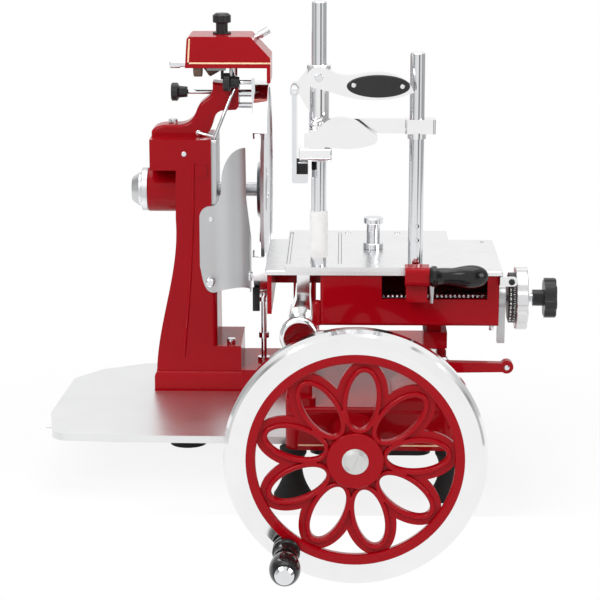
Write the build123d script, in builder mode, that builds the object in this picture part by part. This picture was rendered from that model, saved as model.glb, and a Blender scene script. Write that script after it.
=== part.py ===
from build123d import *
import os
from math import cos, pi, radians, sin, sqrt

os.makedirs("parts", exist_ok=True)

# Hand crank meat slicer. Millimetres, +X right, +Y away from the crank, +Z up.
# The origin is the centre of the near left foot, on the surface that the feet stand on.
# The flywheel reaches below that surface: the machine stands at the edge of its counter.

# clearances
run = 0.05  # radial, a shaft turning or sliding in its hole
gap = 0.3  # flat pieces that slide past each other
air = 2.0  # pieces that only pass each other

# flywheel and crank
crank_x = 82.0
crank_z = 88.0
wheel_front_y = -118.0
ring_outer_r = 140.2
ring_width = 12.6
ring_depth = 14.0
petal_count = 9
petal_first_angle = 84.0
petal_into_hub = 2.1
petal_from_ring = 4.1
petal_from_petal = 2.8
petal_bead = 6.6
petal_web_beyond_bead = 8.6
web_front = -6.0
web_back = -12.0
bead_front = -1.0
bead_round = 2.6
hub_r = 36.6
hub_front = 3.0
hub_back = -20.0
rim_face_width = 23.3
rim_roll = 6.5
rim_depth = 26.0
rim_wall = 10.0
hub_screw_r = 17.0
hub_screw_height = 3.5
screw_slot_width = 2.4
screw_slot_depth = 1.6
wheel_shaft_r = 11.0
crank_pin_into_rim = 9.8
crank_angle = 234.0
crank_pin_r = 6.0
grip_length = 88.0
grip_collar_r = 18.0
grip_waist_r = 13.0
grip_ring_r = 16.5
grip_bulb_r = 20.0
grip_cap_r = 12.5
grip_cap_height = 6.0

# feet
foot_height = 70.0
foot_base_r = 26.0
foot_base_height = 5.0
foot_neck_r = 12.5
foot_neck_z = 40.0
foot_head_r = 18.0
foot_head_height = 8.0
foot_boss_r = 9.5
right_feet_x = 207.0
rear_right_foot_y = 370.0
left_foot_x = -158.0
left_foot_y = 240.0

# base casting
base_left = -10.0
base_right = 216.0
base_front = -16.0
base_back = 414.0
base_bottom = foot_height
base_top = 128.0
base_wall = 8.0
base_corner_r = 18.0
base_edge_r = 7.0
rail_wall_width = 40.0
rail_wall_height = 11.0
dome_x = 168.0
dome_z = 100.0
dome_r = 47.0
dome_back = 120.0
shaft_boss_r = 27.0
shaft_boss_root_r = 34.0
shaft_boss_front = -94.0
inner_web_y = 240.0
inner_web_thickness = 12.0
pan_margin_x = 32.0
pan_margin_y = 30.0
pan_depth = 16.0
pan_wall = 2.0

# blade column and its foot
column_left = -206.0
column_right = -115.0
column_step_right = -81.0
column_front = 246.0
column_back_low = 366.0
column_back_high = 344.0
column_step_z = 144.0
tray_top = 80.0
column_foot_front = 240.0
column_foot_height = 28.0
column_foot_round = 9.0
column_round = 7.0
bridge_top = 110.0
wing_thickness = 7.0
wing_front = 216.0
head_left = -209.0
head_bottom = 400.0
head_top = 444.0
flange_thickness = 7.0
flange_bottom = 330.0
pad_left = -144.5
pad_bottom = 391.0
pad_side = 17.0
pad_height = 1.6

# blade spindle
blade_y = 300.0
blade_z = 364.0
blade_r = 150.0
blade_face_x = -44.0
blade_thickness = 5.0
blade_bevel = 9.0
blade_dish_r = 118.0
blade_dish_depth = 1.5
blade_hub_r = 42.0
blade_hub_depth = 9.0
blade_shaft_r = 10.0
bearing_r = 22.0
bearing_width = 13.0
spindle_boss_r = 32.0
spindle_boss_end = -216.0
cap_flange_r = 31.0
cap_flange_depth = 8.5
cap_cone_r = 24.0
cap_nose_r = 18.5
cap_nose_x = -239.0
blade_nut_r = 30.0
blade_nut_depth = 2.5

# drive inside the base and the column
cross_shaft_r = 8.0
cross_nose_r = 4.5
gear_module = 2.0
gear_teeth = 30
pinion_teeth = 12
gear_face = 10.0
drive_sprocket_teeth = 12
blade_sprocket_teeth = 10
sprocket_tooth_pitch = 13.6
sprocket_x = -154.0
sprocket_width = 8.0
sprocket_tooth_height = 2.5
chain_thickness = 4.0
chain_width = 12.0
chain_room = 2.6
chain_bay_width = 24.0

# slice tray
tray_bottom = base_bottom
tray_sheet = 2.5
tray_skirt = 3.0

# carriage
rail_x = 8.0
rail_z = 222.0
rail_r = 11.0
rail_seat_r = 17.0
rail_cap_r = 26.0
rail_cap_front = -8.0
rail_cap_depth = 11.0
rail_seat_end = 42.0
rail_back = 406.0
pillar_front_y = 6.0
pillar_length = 32.0
pillar_width = 34.0
sleeve_front = 69.0
sleeve_length = 70.0
sleeve_r = 17.0
neck_width = 17.0
neck_top_x = 12.0
guide_left = 186.0
guide_width = 20.0
guide_bottom = 166.0
guide_height = 18.0
guide_front = 82.0
guide_back = 406.0
guide_post_length = 18.0
shoe_front = 84.0
shoe_length = 40.0
shoe_left = 175.0
shoe_right = 207.0
shoe_top = 207.0
plate_left = -38.5
plate_right = 278.0
plate_front = 46.0
plate_back = 256.0
plate_bottom = 294.0
plate_thickness = 6.0
housing_left = -36.0
housing_right = 274.0
housing_front = 49.0
housing_back = 244.0
housing_bottom = 224.0
housing_wall = 6.0
feed_bay_left = 35.0
rail_bay_lip = 240.0
window_left = 117.0
window_right = 258.0
window_bottom = 261.0
housing_round = 5.0
carriage_boss_r = 7.0
carriage_boss_top = 258.0

# feed screw and dials
screw_y = 84.0
screw_z = 256.0
screw_r = 8.0
screw_start = 96.0
screw_step_x = 286.0
screw_tail_r = 6.0
screw_tail_end = 334.0
trip_lever_width = 10.0
trip_lever_tip_z = 194.0
trip_lever_hub_r = 14.0
dial_left = 287.0
dial_width = 10.0
dial_r = 34.0
scallop_wheel_width = 15.5
scallop_wheel_r = 43.0
scallop_count = 10
scallop_cut_r = 9.0
knob_neck_left = 321.0
knob_neck_r = 11.0
knob_head_left = 336.0
knob_head_width = 16.5
knob_head_r = 27.0
knob_lobes = 7
index_right = 297.0
index_bottom = 281.0
index_height = 12.0
index_front = 41.0

# meat table
table_left = -12.0
table_right = 214.0
table_front = 41.0
table_back = 290.0
table_top = 306.0
groove_xs = (-8.0, 24.0, 61.0)
groove_width = 5.0
groove_depth = 1.2
groove_front = 62.0
groove_back = 276.0
column_r = 10.0
column_y = 56.0
left_column_x = 33.0
right_column_x = 161.5
left_column_top = 656.0
right_column_top = 590.0
sleeve_cover_r = 12.0
sleeve_cover_bottom = 318.0
sleeve_cover_height = 62.0
table_knob_x = 107.0
table_knob_y = 167.0
knob_base_r = 14.0
knob_stem_r = 9.3
knob_top_r = 13.5
knob_base_height = 8.0
knob_stem_height = 27.0
knob_top_height = 8.0

# half nut and its handle
nut_left = 147.0
nut_right = 179.0
nut_front = 12.0
nut_back = 40.0
nut_bottom = 286.0
nut_top = 311.0
ear_left = 158.0
ear_width = 10.0
ear_bottom = 286.0
nut_pivot_y = 36.0
nut_pivot_z = 294.0
nut_pin_r = 3.0
nut_arm_bottom = 262.0
nut_arm_top = 284.0
nut_saddle_half = 14.0
release_y = 20.0
release_z = 299.0
release_grip_left = 183.0
release_grip_length = 74.0
release_grip_r = 15.0

# meat press
press_tube_r = 13.5
press_tube_bottom = 478.0
press_tube_top = 574.0
press_collar_r = 16.0
press_collar_height = 12.0
cross_tube_left = 7.0
cross_tube_right = 50.0
cross_tube_y = 33.0
cross_tube_z = 459.0
cross_tube_r = 9.8
guide_bar_right = 186.0
guide_bar_depth = 24.0
guide_bar_bottom = 484.0
guide_bar_height = 19.0
guide_collar_r = 12.6
guide_collar_height = 7.0
lever_back = 39.5
lever_thickness = 12.0
lever_pivot_x = 33.0
lever_pivot_z = 560.0
lever_pin_r = 4.0
grip_plate_x = 110.0
grip_plate_z = 549.0
grip_plate_long = 41.0
grip_plate_high = 14.5
grip_plate_thickness = 4.0
push_plate_left = -2.0
push_plate_thickness = 6.0
push_plate_half_depth = 32.0
push_plate_bottom = 422.0
push_plate_top = 548.0
push_hinge_x = 1.0
push_hinge_z = 541.0
push_pin_r = 3.0
push_knuckle_r = 6.0
push_knuckle_start = 9.0
push_knuckle_end = 27.0
foot_right = 19.0
foot_block_top = 434.0
foot_rubber_top = 445.0

# sharpener on its arm
arm_depth = 40.0
arm_top_left = 521.0
arm_top_right = 517.0
arm_right = -84.0
arm_neck_left = -121.0
turret_x = -92.0
turret_post_r = 6.0
turret_post_bottom = 492.0
turret_post_top = 566.0
cover_left = -158.0
cover_right = -38.0
cover_front = 256.0
cover_depth = 80.0
cover_bottom = 544.0
cover_top = 588.0
cover_slant_x = -66.0
cover_slant_z = 558.0
cover_tail_bottom = 523.0
cover_tail_width = 5.0
cover_wall = 2.0
top_knob_x = -108.0
top_knob_r = 13.0
top_knob_stem_r = 8.5
top_knob_z = 604.0
top_knob_top = 617.0
top_screw_r = 2.2
top_screw_bottom = 523.0
wheel_tilt = 30.0
grinder_x = -127.0
grinder_y = 314.0
grinder_z = 543.0
grinder_r = 16.0
grinder_width = 16.0
spindle_r = 4.0
button_r = 5.6
button_length = 16.0
honer_left = -147.0
honer_y = 278.0
honer_z = 547.0
honer_r = 17.5
honer_width = 12.0
honer_shaft_end = -181.0
clamp_z = 505.0
clamp_rod_r = 2.7
clamp_cap_left = -181.0
clamp_cap_r = 13.0
clamp_neck_r = 8.5
guard_knob_y = 268.0
guard_knob_z = 523.0

# blade guard and slice deflector
guard_inner_r = 140.0
guard_outer_r = 156.0
guard_left = -60.0
guard_right = -41.4
guard_sheet = 2.2
guard_gap_low = -27.0
guard_gap_high = 40.0
guard_post_r = 4.0
guard_post_x = -50.0
guard_hanger = 5.0
guard_eye_r = 5.5
deflector_sheet = 1.6
deflector_left = -139.0
deflector_bend_x = -117.0
deflector_edge_x = -64.0
deflector_edge_y = 182.0
deflector_knob_x = -124.0
deflector_knob_z = 240.0
deflector_knob_r = 6.0

# trip arm
trip_z = 171.0
trip_eye_x = 285.0
trip_eye_r = 9.0
trip_eye_hole_r = 4.0
trip_front = 36.0
trip_width = 16.0
trip_post_left = 194.0


def along_x(y, z):
    """Plane whose x is the row's X and whose y is +Z, through (0, y, z)."""
    return Plane(origin=(0, y, z), x_dir=(1, 0, 0), z_dir=(0, -1, 0))


def along_y(x, z):
    """Plane whose x is the row's Y and whose y is +Z, through (x, 0, z)."""
    return Plane(origin=(x, 0, z), x_dir=(0, 1, 0), z_dir=(1, 0, 0))


def along_z(x, y):
    """Plane whose x is the row's Z and whose y is +X, through (x, y, 0)."""
    return Plane(origin=(x, y, 0), x_dir=(0, 0, 1), z_dir=(0, 1, 0))


def front_view(y):
    """Plane of a front view at depth y: x is X and y is Z. It is extruded back by a minus."""
    return Plane(origin=(0, y, 0), x_dir=(1, 0, 0), z_dir=(0, -1, 0))


def side_view(x):
    """Plane of a side view at x: x is Y and y is Z, extruded towards +X."""
    return Plane(origin=(x, 0, 0), x_dir=(0, 1, 0), z_dir=(1, 0, 0))


def block(low, high, corner=0.0, mode=Mode.ADD):
    """Box from its low to its high corner, with upright corners rounded."""
    wide = high[0] - low[0]
    deep = high[1] - low[1]
    with BuildSketch(Plane.XY.offset(low[2])) as outline:
        with Locations(((low[0] + high[0]) / 2, (low[1] + high[1]) / 2)):
            if corner:
                RectangleRounded(wide, deep, corner)
            else:
                Rectangle(wide, deep)
    extrude(outline.sketch, amount=high[2] - low[2], mode=mode)


def turn(plane, points, mode=Mode.ADD):
    """Turned piece: points are (along the axis, radius), the axis is the plane's x."""
    with BuildSketch(plane) as outline:
        with BuildLine():
            Polyline(*points, close=True)
        make_face()
    revolve(outline.sketch, axis=Axis(plane.origin, plane.x_dir), mode=mode)


def rod(plane, start, end, radius, bore=0.0, mode=Mode.ADD):
    """Round bar or tube along a plane's x from start to end."""
    turn(plane, [(start, bore), (end, bore), (end, radius), (start, radius)], mode)


def keep(part, label):
    """Name a finished piece and write it."""
    part.part.label = label
    export_step(part.part, "parts/" + label + ".step")


def sprocket_tip(teeth):
    """Outside radius of a sprocket with so many teeth."""
    return teeth * sprocket_tooth_pitch / (2 * pi) + sprocket_tooth_height / 2


# shared axes and sizes that follow from the ones above
ring_inner_r = ring_outer_r - ring_width
rim_face_r = ring_outer_r + rim_face_width
rim_outer_r = rim_face_r + rim_roll
crank_radius = ring_outer_r + crank_pin_into_rim
petal_inner_end = hub_r - petal_into_hub
petal_outer_end = ring_inner_r - petal_from_ring
petal_centre_r = (petal_inner_end + petal_outer_end) / 2
petal_opening_long = (petal_outer_end - petal_inner_end) / 2 - petal_bead
petal_opening_wide = pi * petal_centre_r / petal_count - petal_bead - petal_from_petal
wheel_plane = Plane(origin=(crank_x, wheel_front_y, crank_z), x_dir=(1, 0, 0), z_dir=(0, -1, 0))
crank_axis = along_y(crank_x, crank_z)
crank_pin_x = crank_x + crank_radius * cos(radians(crank_angle))
crank_pin_z = crank_z + crank_radius * sin(radians(crank_angle))
pin_axis = along_y(crank_pin_x, crank_pin_z)
cross_axis = along_x(blade_y, crank_z)
blade_axis = along_x(blade_y, blade_z)
rail_axis = along_y(rail_x, rail_z)
screw_axis = along_x(screw_y, screw_z)
nut_axis = along_x(nut_pivot_y, nut_pivot_z)
gear_r = gear_module * gear_teeth / 2
pinion_r = gear_module * pinion_teeth / 2
gear_pitch_y = blade_y - pinion_r
pinion_pitch_x = crank_x - gear_r
gear_cone = sqrt(gear_r**2 + pinion_r**2)
inner_share = 1.0 - gear_face / gear_cone
pinion_root_drop = 1.1 * gear_module
gear_root_drop = 1.9 * gear_module
cross_shaft_end = column_left + 26.0
chain_clear_r = sprocket_tip(drive_sprocket_teeth) + gap + chain_thickness + chain_room
chain_bay_left = sprocket_x - chain_bay_width / 2
chain_bay_right = sprocket_x + chain_bay_width / 2
blade_back_x = blade_face_x - blade_thickness
scallop_left = dial_left + dial_width + gap
table_bottom = plate_bottom + plate_thickness + gap

# ---- flywheel ------------------------------------------------------------------------------
bead_long = petal_opening_long + petal_bead
bead_wide = petal_opening_wide + petal_bead

with BuildPart() as flywheel:
    # the web: a scalloped flower joined to the ring, pierced by the petals
    with BuildSketch(wheel_plane.offset(web_back)):
        with PolarLocations(petal_centre_r, petal_count, start_angle=petal_first_angle):
            Ellipse(bead_long + petal_web_beyond_bead, bead_wide + petal_web_beyond_bead)
        Circle((ring_inner_r + ring_outer_r) / 2, mode=Mode.INTERSECT)
        with PolarLocations(petal_centre_r, petal_count, start_angle=petal_first_angle):
            Ellipse(petal_opening_long, petal_opening_wide, mode=Mode.SUBTRACT)
    extrude(amount=web_front - web_back)
    # a rounded bead round each petal
    with BuildSketch(wheel_plane.offset(web_back)):
        with PolarLocations(petal_centre_r, petal_count, start_angle=petal_first_angle):
            Ellipse(bead_long, bead_wide)
        with PolarLocations(petal_centre_r, petal_count, start_angle=petal_first_angle):
            Ellipse(petal_opening_long, petal_opening_wide, mode=Mode.SUBTRACT)
        Circle(hub_r - petal_bead / 2, mode=Mode.SUBTRACT)
    extrude(amount=bead_front - web_back)
    bead_faces = flywheel.faces().filter_by(Axis.Y).group_by(Axis.Y)[0]
    fillet(bead_faces.edges().filter_by(GeomType.ELLIPSE), radius=bead_round)
    # ring and hub
    turn(
        crank_axis,
        [
            (wheel_front_y + ring_depth, ring_inner_r + 1.5),
            (wheel_front_y + ring_depth, ring_outer_r),
            (wheel_front_y, ring_outer_r),
            (wheel_front_y, ring_inner_r + 3.0),
            (wheel_front_y + 1.2, ring_inner_r + 0.8),
            (wheel_front_y + 4.0, ring_inner_r),
        ],
    )
    turn(
        crank_axis,
        [
            (wheel_front_y - hub_back, 0),
            (wheel_front_y - hub_back, hub_r - 4.0),
            (wheel_front_y - web_back, hub_r),
            (wheel_front_y - hub_front + 1.2, hub_r),
            (wheel_front_y - hub_front, hub_r - 1.2),
            (wheel_front_y - hub_front, 0),
        ],
    )
    rod(crank_axis, wheel_front_y - hub_front, wheel_front_y - hub_back, wheel_shaft_r + run, mode=Mode.SUBTRACT)
keep(flywheel, "flywheel")

with BuildPart() as flywheel_rim:
    turn(
        crank_axis,
        [
            (wheel_front_y + rim_wall, ring_outer_r + run),
            (wheel_front_y, ring_outer_r + run),
            (wheel_front_y - 0.8, (ring_outer_r + rim_face_r) / 2),
            (wheel_front_y, rim_face_r),
            (wheel_front_y + 3.0, rim_face_r + 3.2),
            (wheel_front_y + 12.0, rim_outer_r),
            (wheel_front_y + rim_depth, rim_outer_r),
            (wheel_front_y + rim_depth, rim_outer_r - rim_wall),
            (wheel_front_y + 14.0, rim_face_r - 5.0),
        ],
    )
    rod(pin_axis, wheel_front_y - air, wheel_front_y + rim_depth, crank_pin_r + run, mode=Mode.SUBTRACT)
keep(flywheel_rim, "flywheel_rim")

with BuildPart() as hub_screw:
    face_y = wheel_front_y - hub_front
    turn(
        crank_axis,
        [
            (face_y, 0),
            (face_y, hub_screw_r),
            (face_y - 0.6, hub_screw_r),
            (face_y - hub_screw_height * 0.8, hub_screw_r * 0.66),
            (face_y - hub_screw_height, 0),
        ],
    )
    with BuildSketch(wheel_plane.offset(hub_front + hub_screw_height - screw_slot_depth)):
        Rectangle(screw_slot_width, hub_screw_r * 2, rotation=-18)
    extrude(amount=screw_slot_depth, mode=Mode.SUBTRACT)
keep(hub_screw, "hub_screw")

with BuildPart() as flywheel_shaft:
    rod(crank_axis, wheel_front_y - hub_front, gear_pitch_y + 2.0, wheel_shaft_r)
keep(flywheel_shaft, "flywheel_shaft")

with BuildPart() as crank_pin:
    grip_start_y = wheel_front_y - 2.0
    grip_end_y = grip_start_y - grip_length
    turn(
        pin_axis,
        [
            (wheel_front_y + rim_wall, 0),
            (wheel_front_y + rim_wall, crank_pin_r),
            (grip_end_y - gap, crank_pin_r),
            (grip_end_y - gap, grip_cap_r),
            (grip_end_y - gap - 2.0, grip_cap_r),
            (grip_end_y - gap - 5.0, grip_cap_r * 0.72),
            (grip_end_y - gap - grip_cap_height, 0),
        ],
    )
keep(crank_pin, "crank_pin")

with BuildPart() as crank_grip:
    with BuildSketch(pin_axis):
        with BuildLine():
            Polyline(
                (grip_end_y, crank_pin_r + run),
                (grip_start_y, crank_pin_r + run),
                (grip_start_y, grip_collar_r - 2.0),
                (grip_start_y - 2.0, grip_collar_r),
                (grip_start_y - 7.0, grip_collar_r),
            )
            Spline(
                (grip_start_y - 7.0, grip_collar_r),
                (grip_start_y - 13.0, grip_waist_r + 1.0),
                (grip_start_y - 24.0, grip_waist_r),
                (grip_start_y - 32.0, grip_waist_r + 1.0),
            )
            Polyline(
                (grip_start_y - 32.0, grip_waist_r + 1.0),
                (grip_start_y - 32.0, grip_ring_r),
                (grip_start_y - 37.0, grip_ring_r),
                (grip_start_y - 37.0, grip_waist_r + 1.5),
            )
            Spline(
                (grip_start_y - 37.0, grip_waist_r + 1.5),
                (grip_start_y - 52.0, grip_bulb_r - 1.5),
                (grip_start_y - 68.0, grip_bulb_r),
                (grip_start_y - 80.0, grip_bulb_r - 2.0),
                (grip_end_y, grip_cap_r + 1.5),
            )
            Line((grip_end_y, grip_cap_r + 1.5), (grip_end_y, crank_pin_r + run))
        make_face()
    revolve(axis=Axis(pin_axis.origin, pin_axis.x_dir))
keep(crank_grip, "crank_grip")


# ---- bevel gears, cross shaft, sprockets and chain -------------------------------------------
def bevel_tooth(plane_of, count, pitch_r, mate_r, drop, index):
    """One straight bevel tooth as a loft towards the apex; plane_of gives a plane by distance."""
    cone = sqrt(pitch_r**2 + mate_r**2)
    angle = 2 * pi * index / count
    faces = []
    for share in (1.0, 1.0 - gear_face / cone):
        half_root = 0.21 * pi * gear_module * share
        half_tip = 0.09 * pi * gear_module * share
        radius = pitch_r * share
        low = radius - (drop + 0.3) * share
        high = radius + 0.65 * gear_module * share
        corners = [(low, -half_root), (high, -half_tip), (high, half_tip), (low, half_root)]
        turned = [(a * cos(angle) - b * sin(angle), a * sin(angle) + b * cos(angle)) for a, b in corners]
        with BuildSketch(plane_of(mate_r * share)) as face:
            with BuildLine():
                Polyline(*turned, close=True)
            make_face()
        faces.append(face.sketch.faces()[0])
    loft(faces)


def gear_plane(distance):
    return Plane(origin=(crank_x, blade_y - distance, crank_z), x_dir=(0, 0, 1), z_dir=(0, 1, 0))


def pinion_plane(distance):
    return Plane(origin=(crank_x - distance, blade_y, crank_z), x_dir=(0, 0, 1), z_dir=(1, 0, 0))



with BuildPart() as bevel_gear:
    turn(
        crank_axis,
        [
            (gear_pitch_y - 10.0, wheel_shaft_r + run),
            (gear_pitch_y - 10.0, gear_r * 0.72),
            (gear_pitch_y, gear_r - gear_root_drop),
            (blade_y - pinion_r * inner_share, (gear_r - gear_root_drop) * inner_share),
            (blade_y - pinion_r * inner_share, wheel_shaft_r + run),
        ],
    )
    for tooth in range(gear_teeth):
        bevel_tooth(gear_plane, gear_teeth, gear_r, pinion_r, gear_root_drop, tooth)
keep(bevel_gear, "bevel_gear")

with BuildPart() as bevel_pinion:
    turn(
        cross_axis,
        [
            (pinion_pitch_x - 8.0, cross_shaft_r + run),
            (pinion_pitch_x - 8.0, pinion_r),
            (pinion_pitch_x, pinion_r - pinion_root_drop),
            (crank_x - gear_r * inner_share, (pinion_r - pinion_root_drop) * inner_share),
            (crank_x - gear_r * inner_share, cross_nose_r),
            (pinion_pitch_x + 1.0, cross_nose_r),
            (pinion_pitch_x + 1.0, cross_shaft_r + run),
        ],
    )
    for tooth in range(pinion_teeth):
        bevel_tooth(pinion_plane, pinion_teeth, pinion_r, gear_r, pinion_root_drop, tooth)
keep(bevel_pinion, "bevel_pinion")

with BuildPart() as cross_shaft:
    turn(
        cross_axis,
        [
            (cross_shaft_end, 0),
            (cross_shaft_end, cross_shaft_r),
            (pinion_pitch_x + 1.0 - run, cross_shaft_r),
            (pinion_pitch_x + 1.0 - run, cross_nose_r - run),
            (crank_x - gear_r * inner_share, cross_nose_r - run),
            (crank_x - gear_r * inner_share, 0),
        ],
    )
keep(cross_shaft, "cross_shaft")


def sprocket(name, axis_z, teeth, bore):
    """Toothed wheel for the roller chain, its tip radius follows from the pitch."""
    tip = sprocket_tip(teeth)
    plane = Plane(origin=(sprocket_x - sprocket_width / 2, blade_y, axis_z), x_dir=(0, 1, 0), z_dir=(1, 0, 0))
    with BuildPart() as wheel:
        with BuildSketch(plane) as outline:
            Circle(tip)
            with PolarLocations(tip + sprocket_tooth_height / 3, teeth):
                Circle(sprocket_tooth_height, mode=Mode.SUBTRACT)
            Circle(bore + run, mode=Mode.SUBTRACT)
        extrude(outline.sketch, amount=sprocket_width)
    keep(wheel, name)


sprocket("drive_sprocket", crank_z, drive_sprocket_teeth, cross_shaft_r)
sprocket("blade_sprocket", blade_z, blade_sprocket_teeth, blade_shaft_r)


def chain_loop(grow):
    """Side outline of a loop round both sprockets, grown by an amount."""
    low_r = sprocket_tip(drive_sprocket_teeth) + gap + grow
    high_r = sprocket_tip(blade_sprocket_teeth) + gap + grow
    lean = (low_r - high_r) / (blade_z - crank_z)
    side = sqrt(1 - lean**2)
    with BuildSketch(side_view(sprocket_x - chain_width / 2)) as loop:
        with Locations((blade_y, crank_z)):
            Circle(low_r)
        with Locations((blade_y, blade_z)):
            Circle(high_r)
        with BuildLine():
            Polyline(
                (blade_y - low_r * side, crank_z + low_r * lean),
                (blade_y + low_r * side, crank_z + low_r * lean),
                (blade_y + high_r * side, blade_z + high_r * lean),
                (blade_y - high_r * side, blade_z + high_r * lean),
                close=True,
            )
        make_face()
    return loop.sketch


with BuildPart() as drive_chain:
    extrude(chain_loop(chain_thickness), amount=chain_width)
    extrude(chain_loop(0.0), amount=chain_width, mode=Mode.SUBTRACT)
keep(drive_chain, "drive_chain")

# ---- base casting, pan and feet ----------------------------------------------------------------
foot_places = [
    (0.0, 0.0),
    (right_feet_x, 0.0),
    (left_foot_x, left_foot_y),
    (right_feet_x, rear_right_foot_y),
]

with BuildPart() as base_casting:
    block((base_left, base_front, base_bottom), (base_right, base_back, base_top), base_corner_r)
    fillet(base_casting.faces().sort_by(Axis.Z)[-1].edges(), radius=base_edge_r)
    # rail wall on the left and the gear dome on the right
    block(
        (base_left, base_front + base_edge_r, base_top - base_edge_r - 4.0),
        (base_left + rail_wall_width, base_back - base_edge_r, base_top + rail_wall_height),
        base_corner_r / 2,
    )
    with BuildSketch(front_view(base_front + 1.0)) as dome:
        with Locations((dome_x, dome_z)):
            Circle(dome_r)
        block_low = dome_z - dome_r
        with Locations((dome_x, (block_low + dome_z) / 2)):
            Rectangle(dome_r * 2, dome_r, mode=Mode.SUBTRACT)
    extrude(dome.sketch, amount=-(dome_back - base_front))
    # boss that carries the flywheel shaft
    turn(
        crank_axis,
        [
            (base_front + base_wall, 0),
            (base_front + base_wall, shaft_boss_root_r),
            (base_front, shaft_boss_root_r),
            (shaft_boss_front + 20.0, shaft_boss_r),
            (shaft_boss_front + 1.5, shaft_boss_r),
            (shaft_boss_front, shaft_boss_r - 1.5),
            (shaft_boss_front, 0),
        ],
    )
    # bridge to the blade column, with the wing that the column stands on
    block((column_step_right, column_foot_front, base_bottom), (base_left + base_wall, column_back_low, bridge_top))
    block(
        (column_left, wing_front, base_bottom),
        (base_left + base_wall, column_back_low, base_bottom + wing_thickness),
    )
    block(
        (column_left, column_foot_front - 6.0, base_bottom),
        (column_step_right, column_back_low, tray_top),
    )
    # hollow underside
    inside_low = (base_left + base_wall, base_front + base_wall, base_bottom)
    inside_high = (base_right - base_wall, base_back - base_wall, base_top - base_wall)
    block(inside_low, inside_high, base_corner_r - base_wall, mode=Mode.SUBTRACT)
    # web that carries the inner end of the flywheel shaft, and the foot bosses
    block(
        (inside_low[0], inner_web_y, base_bottom),
        (inside_high[0], inner_web_y + inner_web_thickness, inside_high[2]),
    )
    for x, y in foot_places:
        if x >= 0:
            rod(along_z(x, y), base_bottom, base_top - base_wall, foot_boss_r)
    # rail pillars with open saddles, and the posts of the guide rail
    for start, length in ((pillar_front_y, pillar_length), (rail_back - pillar_length / 2, pillar_length / 2)):
        block(
            (rail_x - pillar_width / 2, start, base_top),
            (rail_x + pillar_width / 2, start + length, rail_z),
            4.0,
        )
    for start in (guide_front + 6.0, guide_back - guide_post_length):
        block(
            (guide_left + 2.0, start, base_top - base_wall),
            (guide_left + guide_width - 2.0, start + guide_post_length, guide_bottom),
            3.0,
        )
    rod(rail_axis, pillar_front_y - 1.0, rail_seat_end, rail_seat_r + run, mode=Mode.SUBTRACT)
    rod(rail_axis, rail_back - pillar_length, rail_back + 1.0, rail_r + run, mode=Mode.SUBTRACT)
    # sump under the lower sprocket
    sump = along_x(blade_y, crank_z)
    rod(sump, chain_bay_left - 3.0, chain_bay_right + 3.0, chain_clear_r + 3.0)
    rod(sump, chain_bay_left, chain_bay_right, chain_clear_r, mode=Mode.SUBTRACT)
    block(
        (column_left - 1.0, wing_front, tray_top),
        (column_step_right, column_back_low + 1.0, tray_top + chain_clear_r * 2),
        mode=Mode.SUBTRACT,
    )
    # bores
    rod(crank_axis, shaft_boss_front - 1.0, inner_web_y + inner_web_thickness + 1.0, wheel_shaft_r + run, mode=Mode.SUBTRACT)
    rod(cross_axis, column_step_right - 1.0, inside_low[0] + 1.0, cross_shaft_r + run, mode=Mode.SUBTRACT)
keep(base_casting, "base_casting")

with BuildPart() as base_pan:
    pan_low = (base_left + pan_margin_x, base_front + pan_margin_y, base_bottom - pan_depth)
    pan_high = (base_right - pan_margin_x, base_back - base_wall, base_bottom)
    block(pan_low, pan_high, base_corner_r)
    block(
        (pan_low[0] + pan_wall, pan_low[1] + pan_wall, pan_low[2] + pan_wall),
        (pan_high[0] - pan_wall, pan_high[1] - pan_wall, pan_high[2]),
        base_corner_r - pan_wall,
        mode=Mode.SUBTRACT,
    )
keep(base_pan, "base_pan")

with BuildPart() as rubber_feet:
    for x, y in foot_places:
        with BuildSketch(along_z(x, y)) as foot:
            with BuildLine():
                Polyline((0, 0), (0, foot_base_r), (foot_base_height, foot_base_r))
                Spline(
                    (foot_base_height, foot_base_r),
                    (foot_neck_z * 0.45, foot_neck_r + 6.0),
                    (foot_neck_z, foot_neck_r),
                    (foot_height - foot_head_height, foot_head_r),
                )
                Polyline(
                    (foot_height - foot_head_height, foot_head_r),
                    (foot_height, foot_head_r),
                    (foot_height, 0),
                    (0, 0),
                )
            make_face()
        revolve(foot.sketch, axis=Axis((x, y, 0), (0, 0, 1)))
keep(rubber_feet, "rubber_feet")

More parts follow.
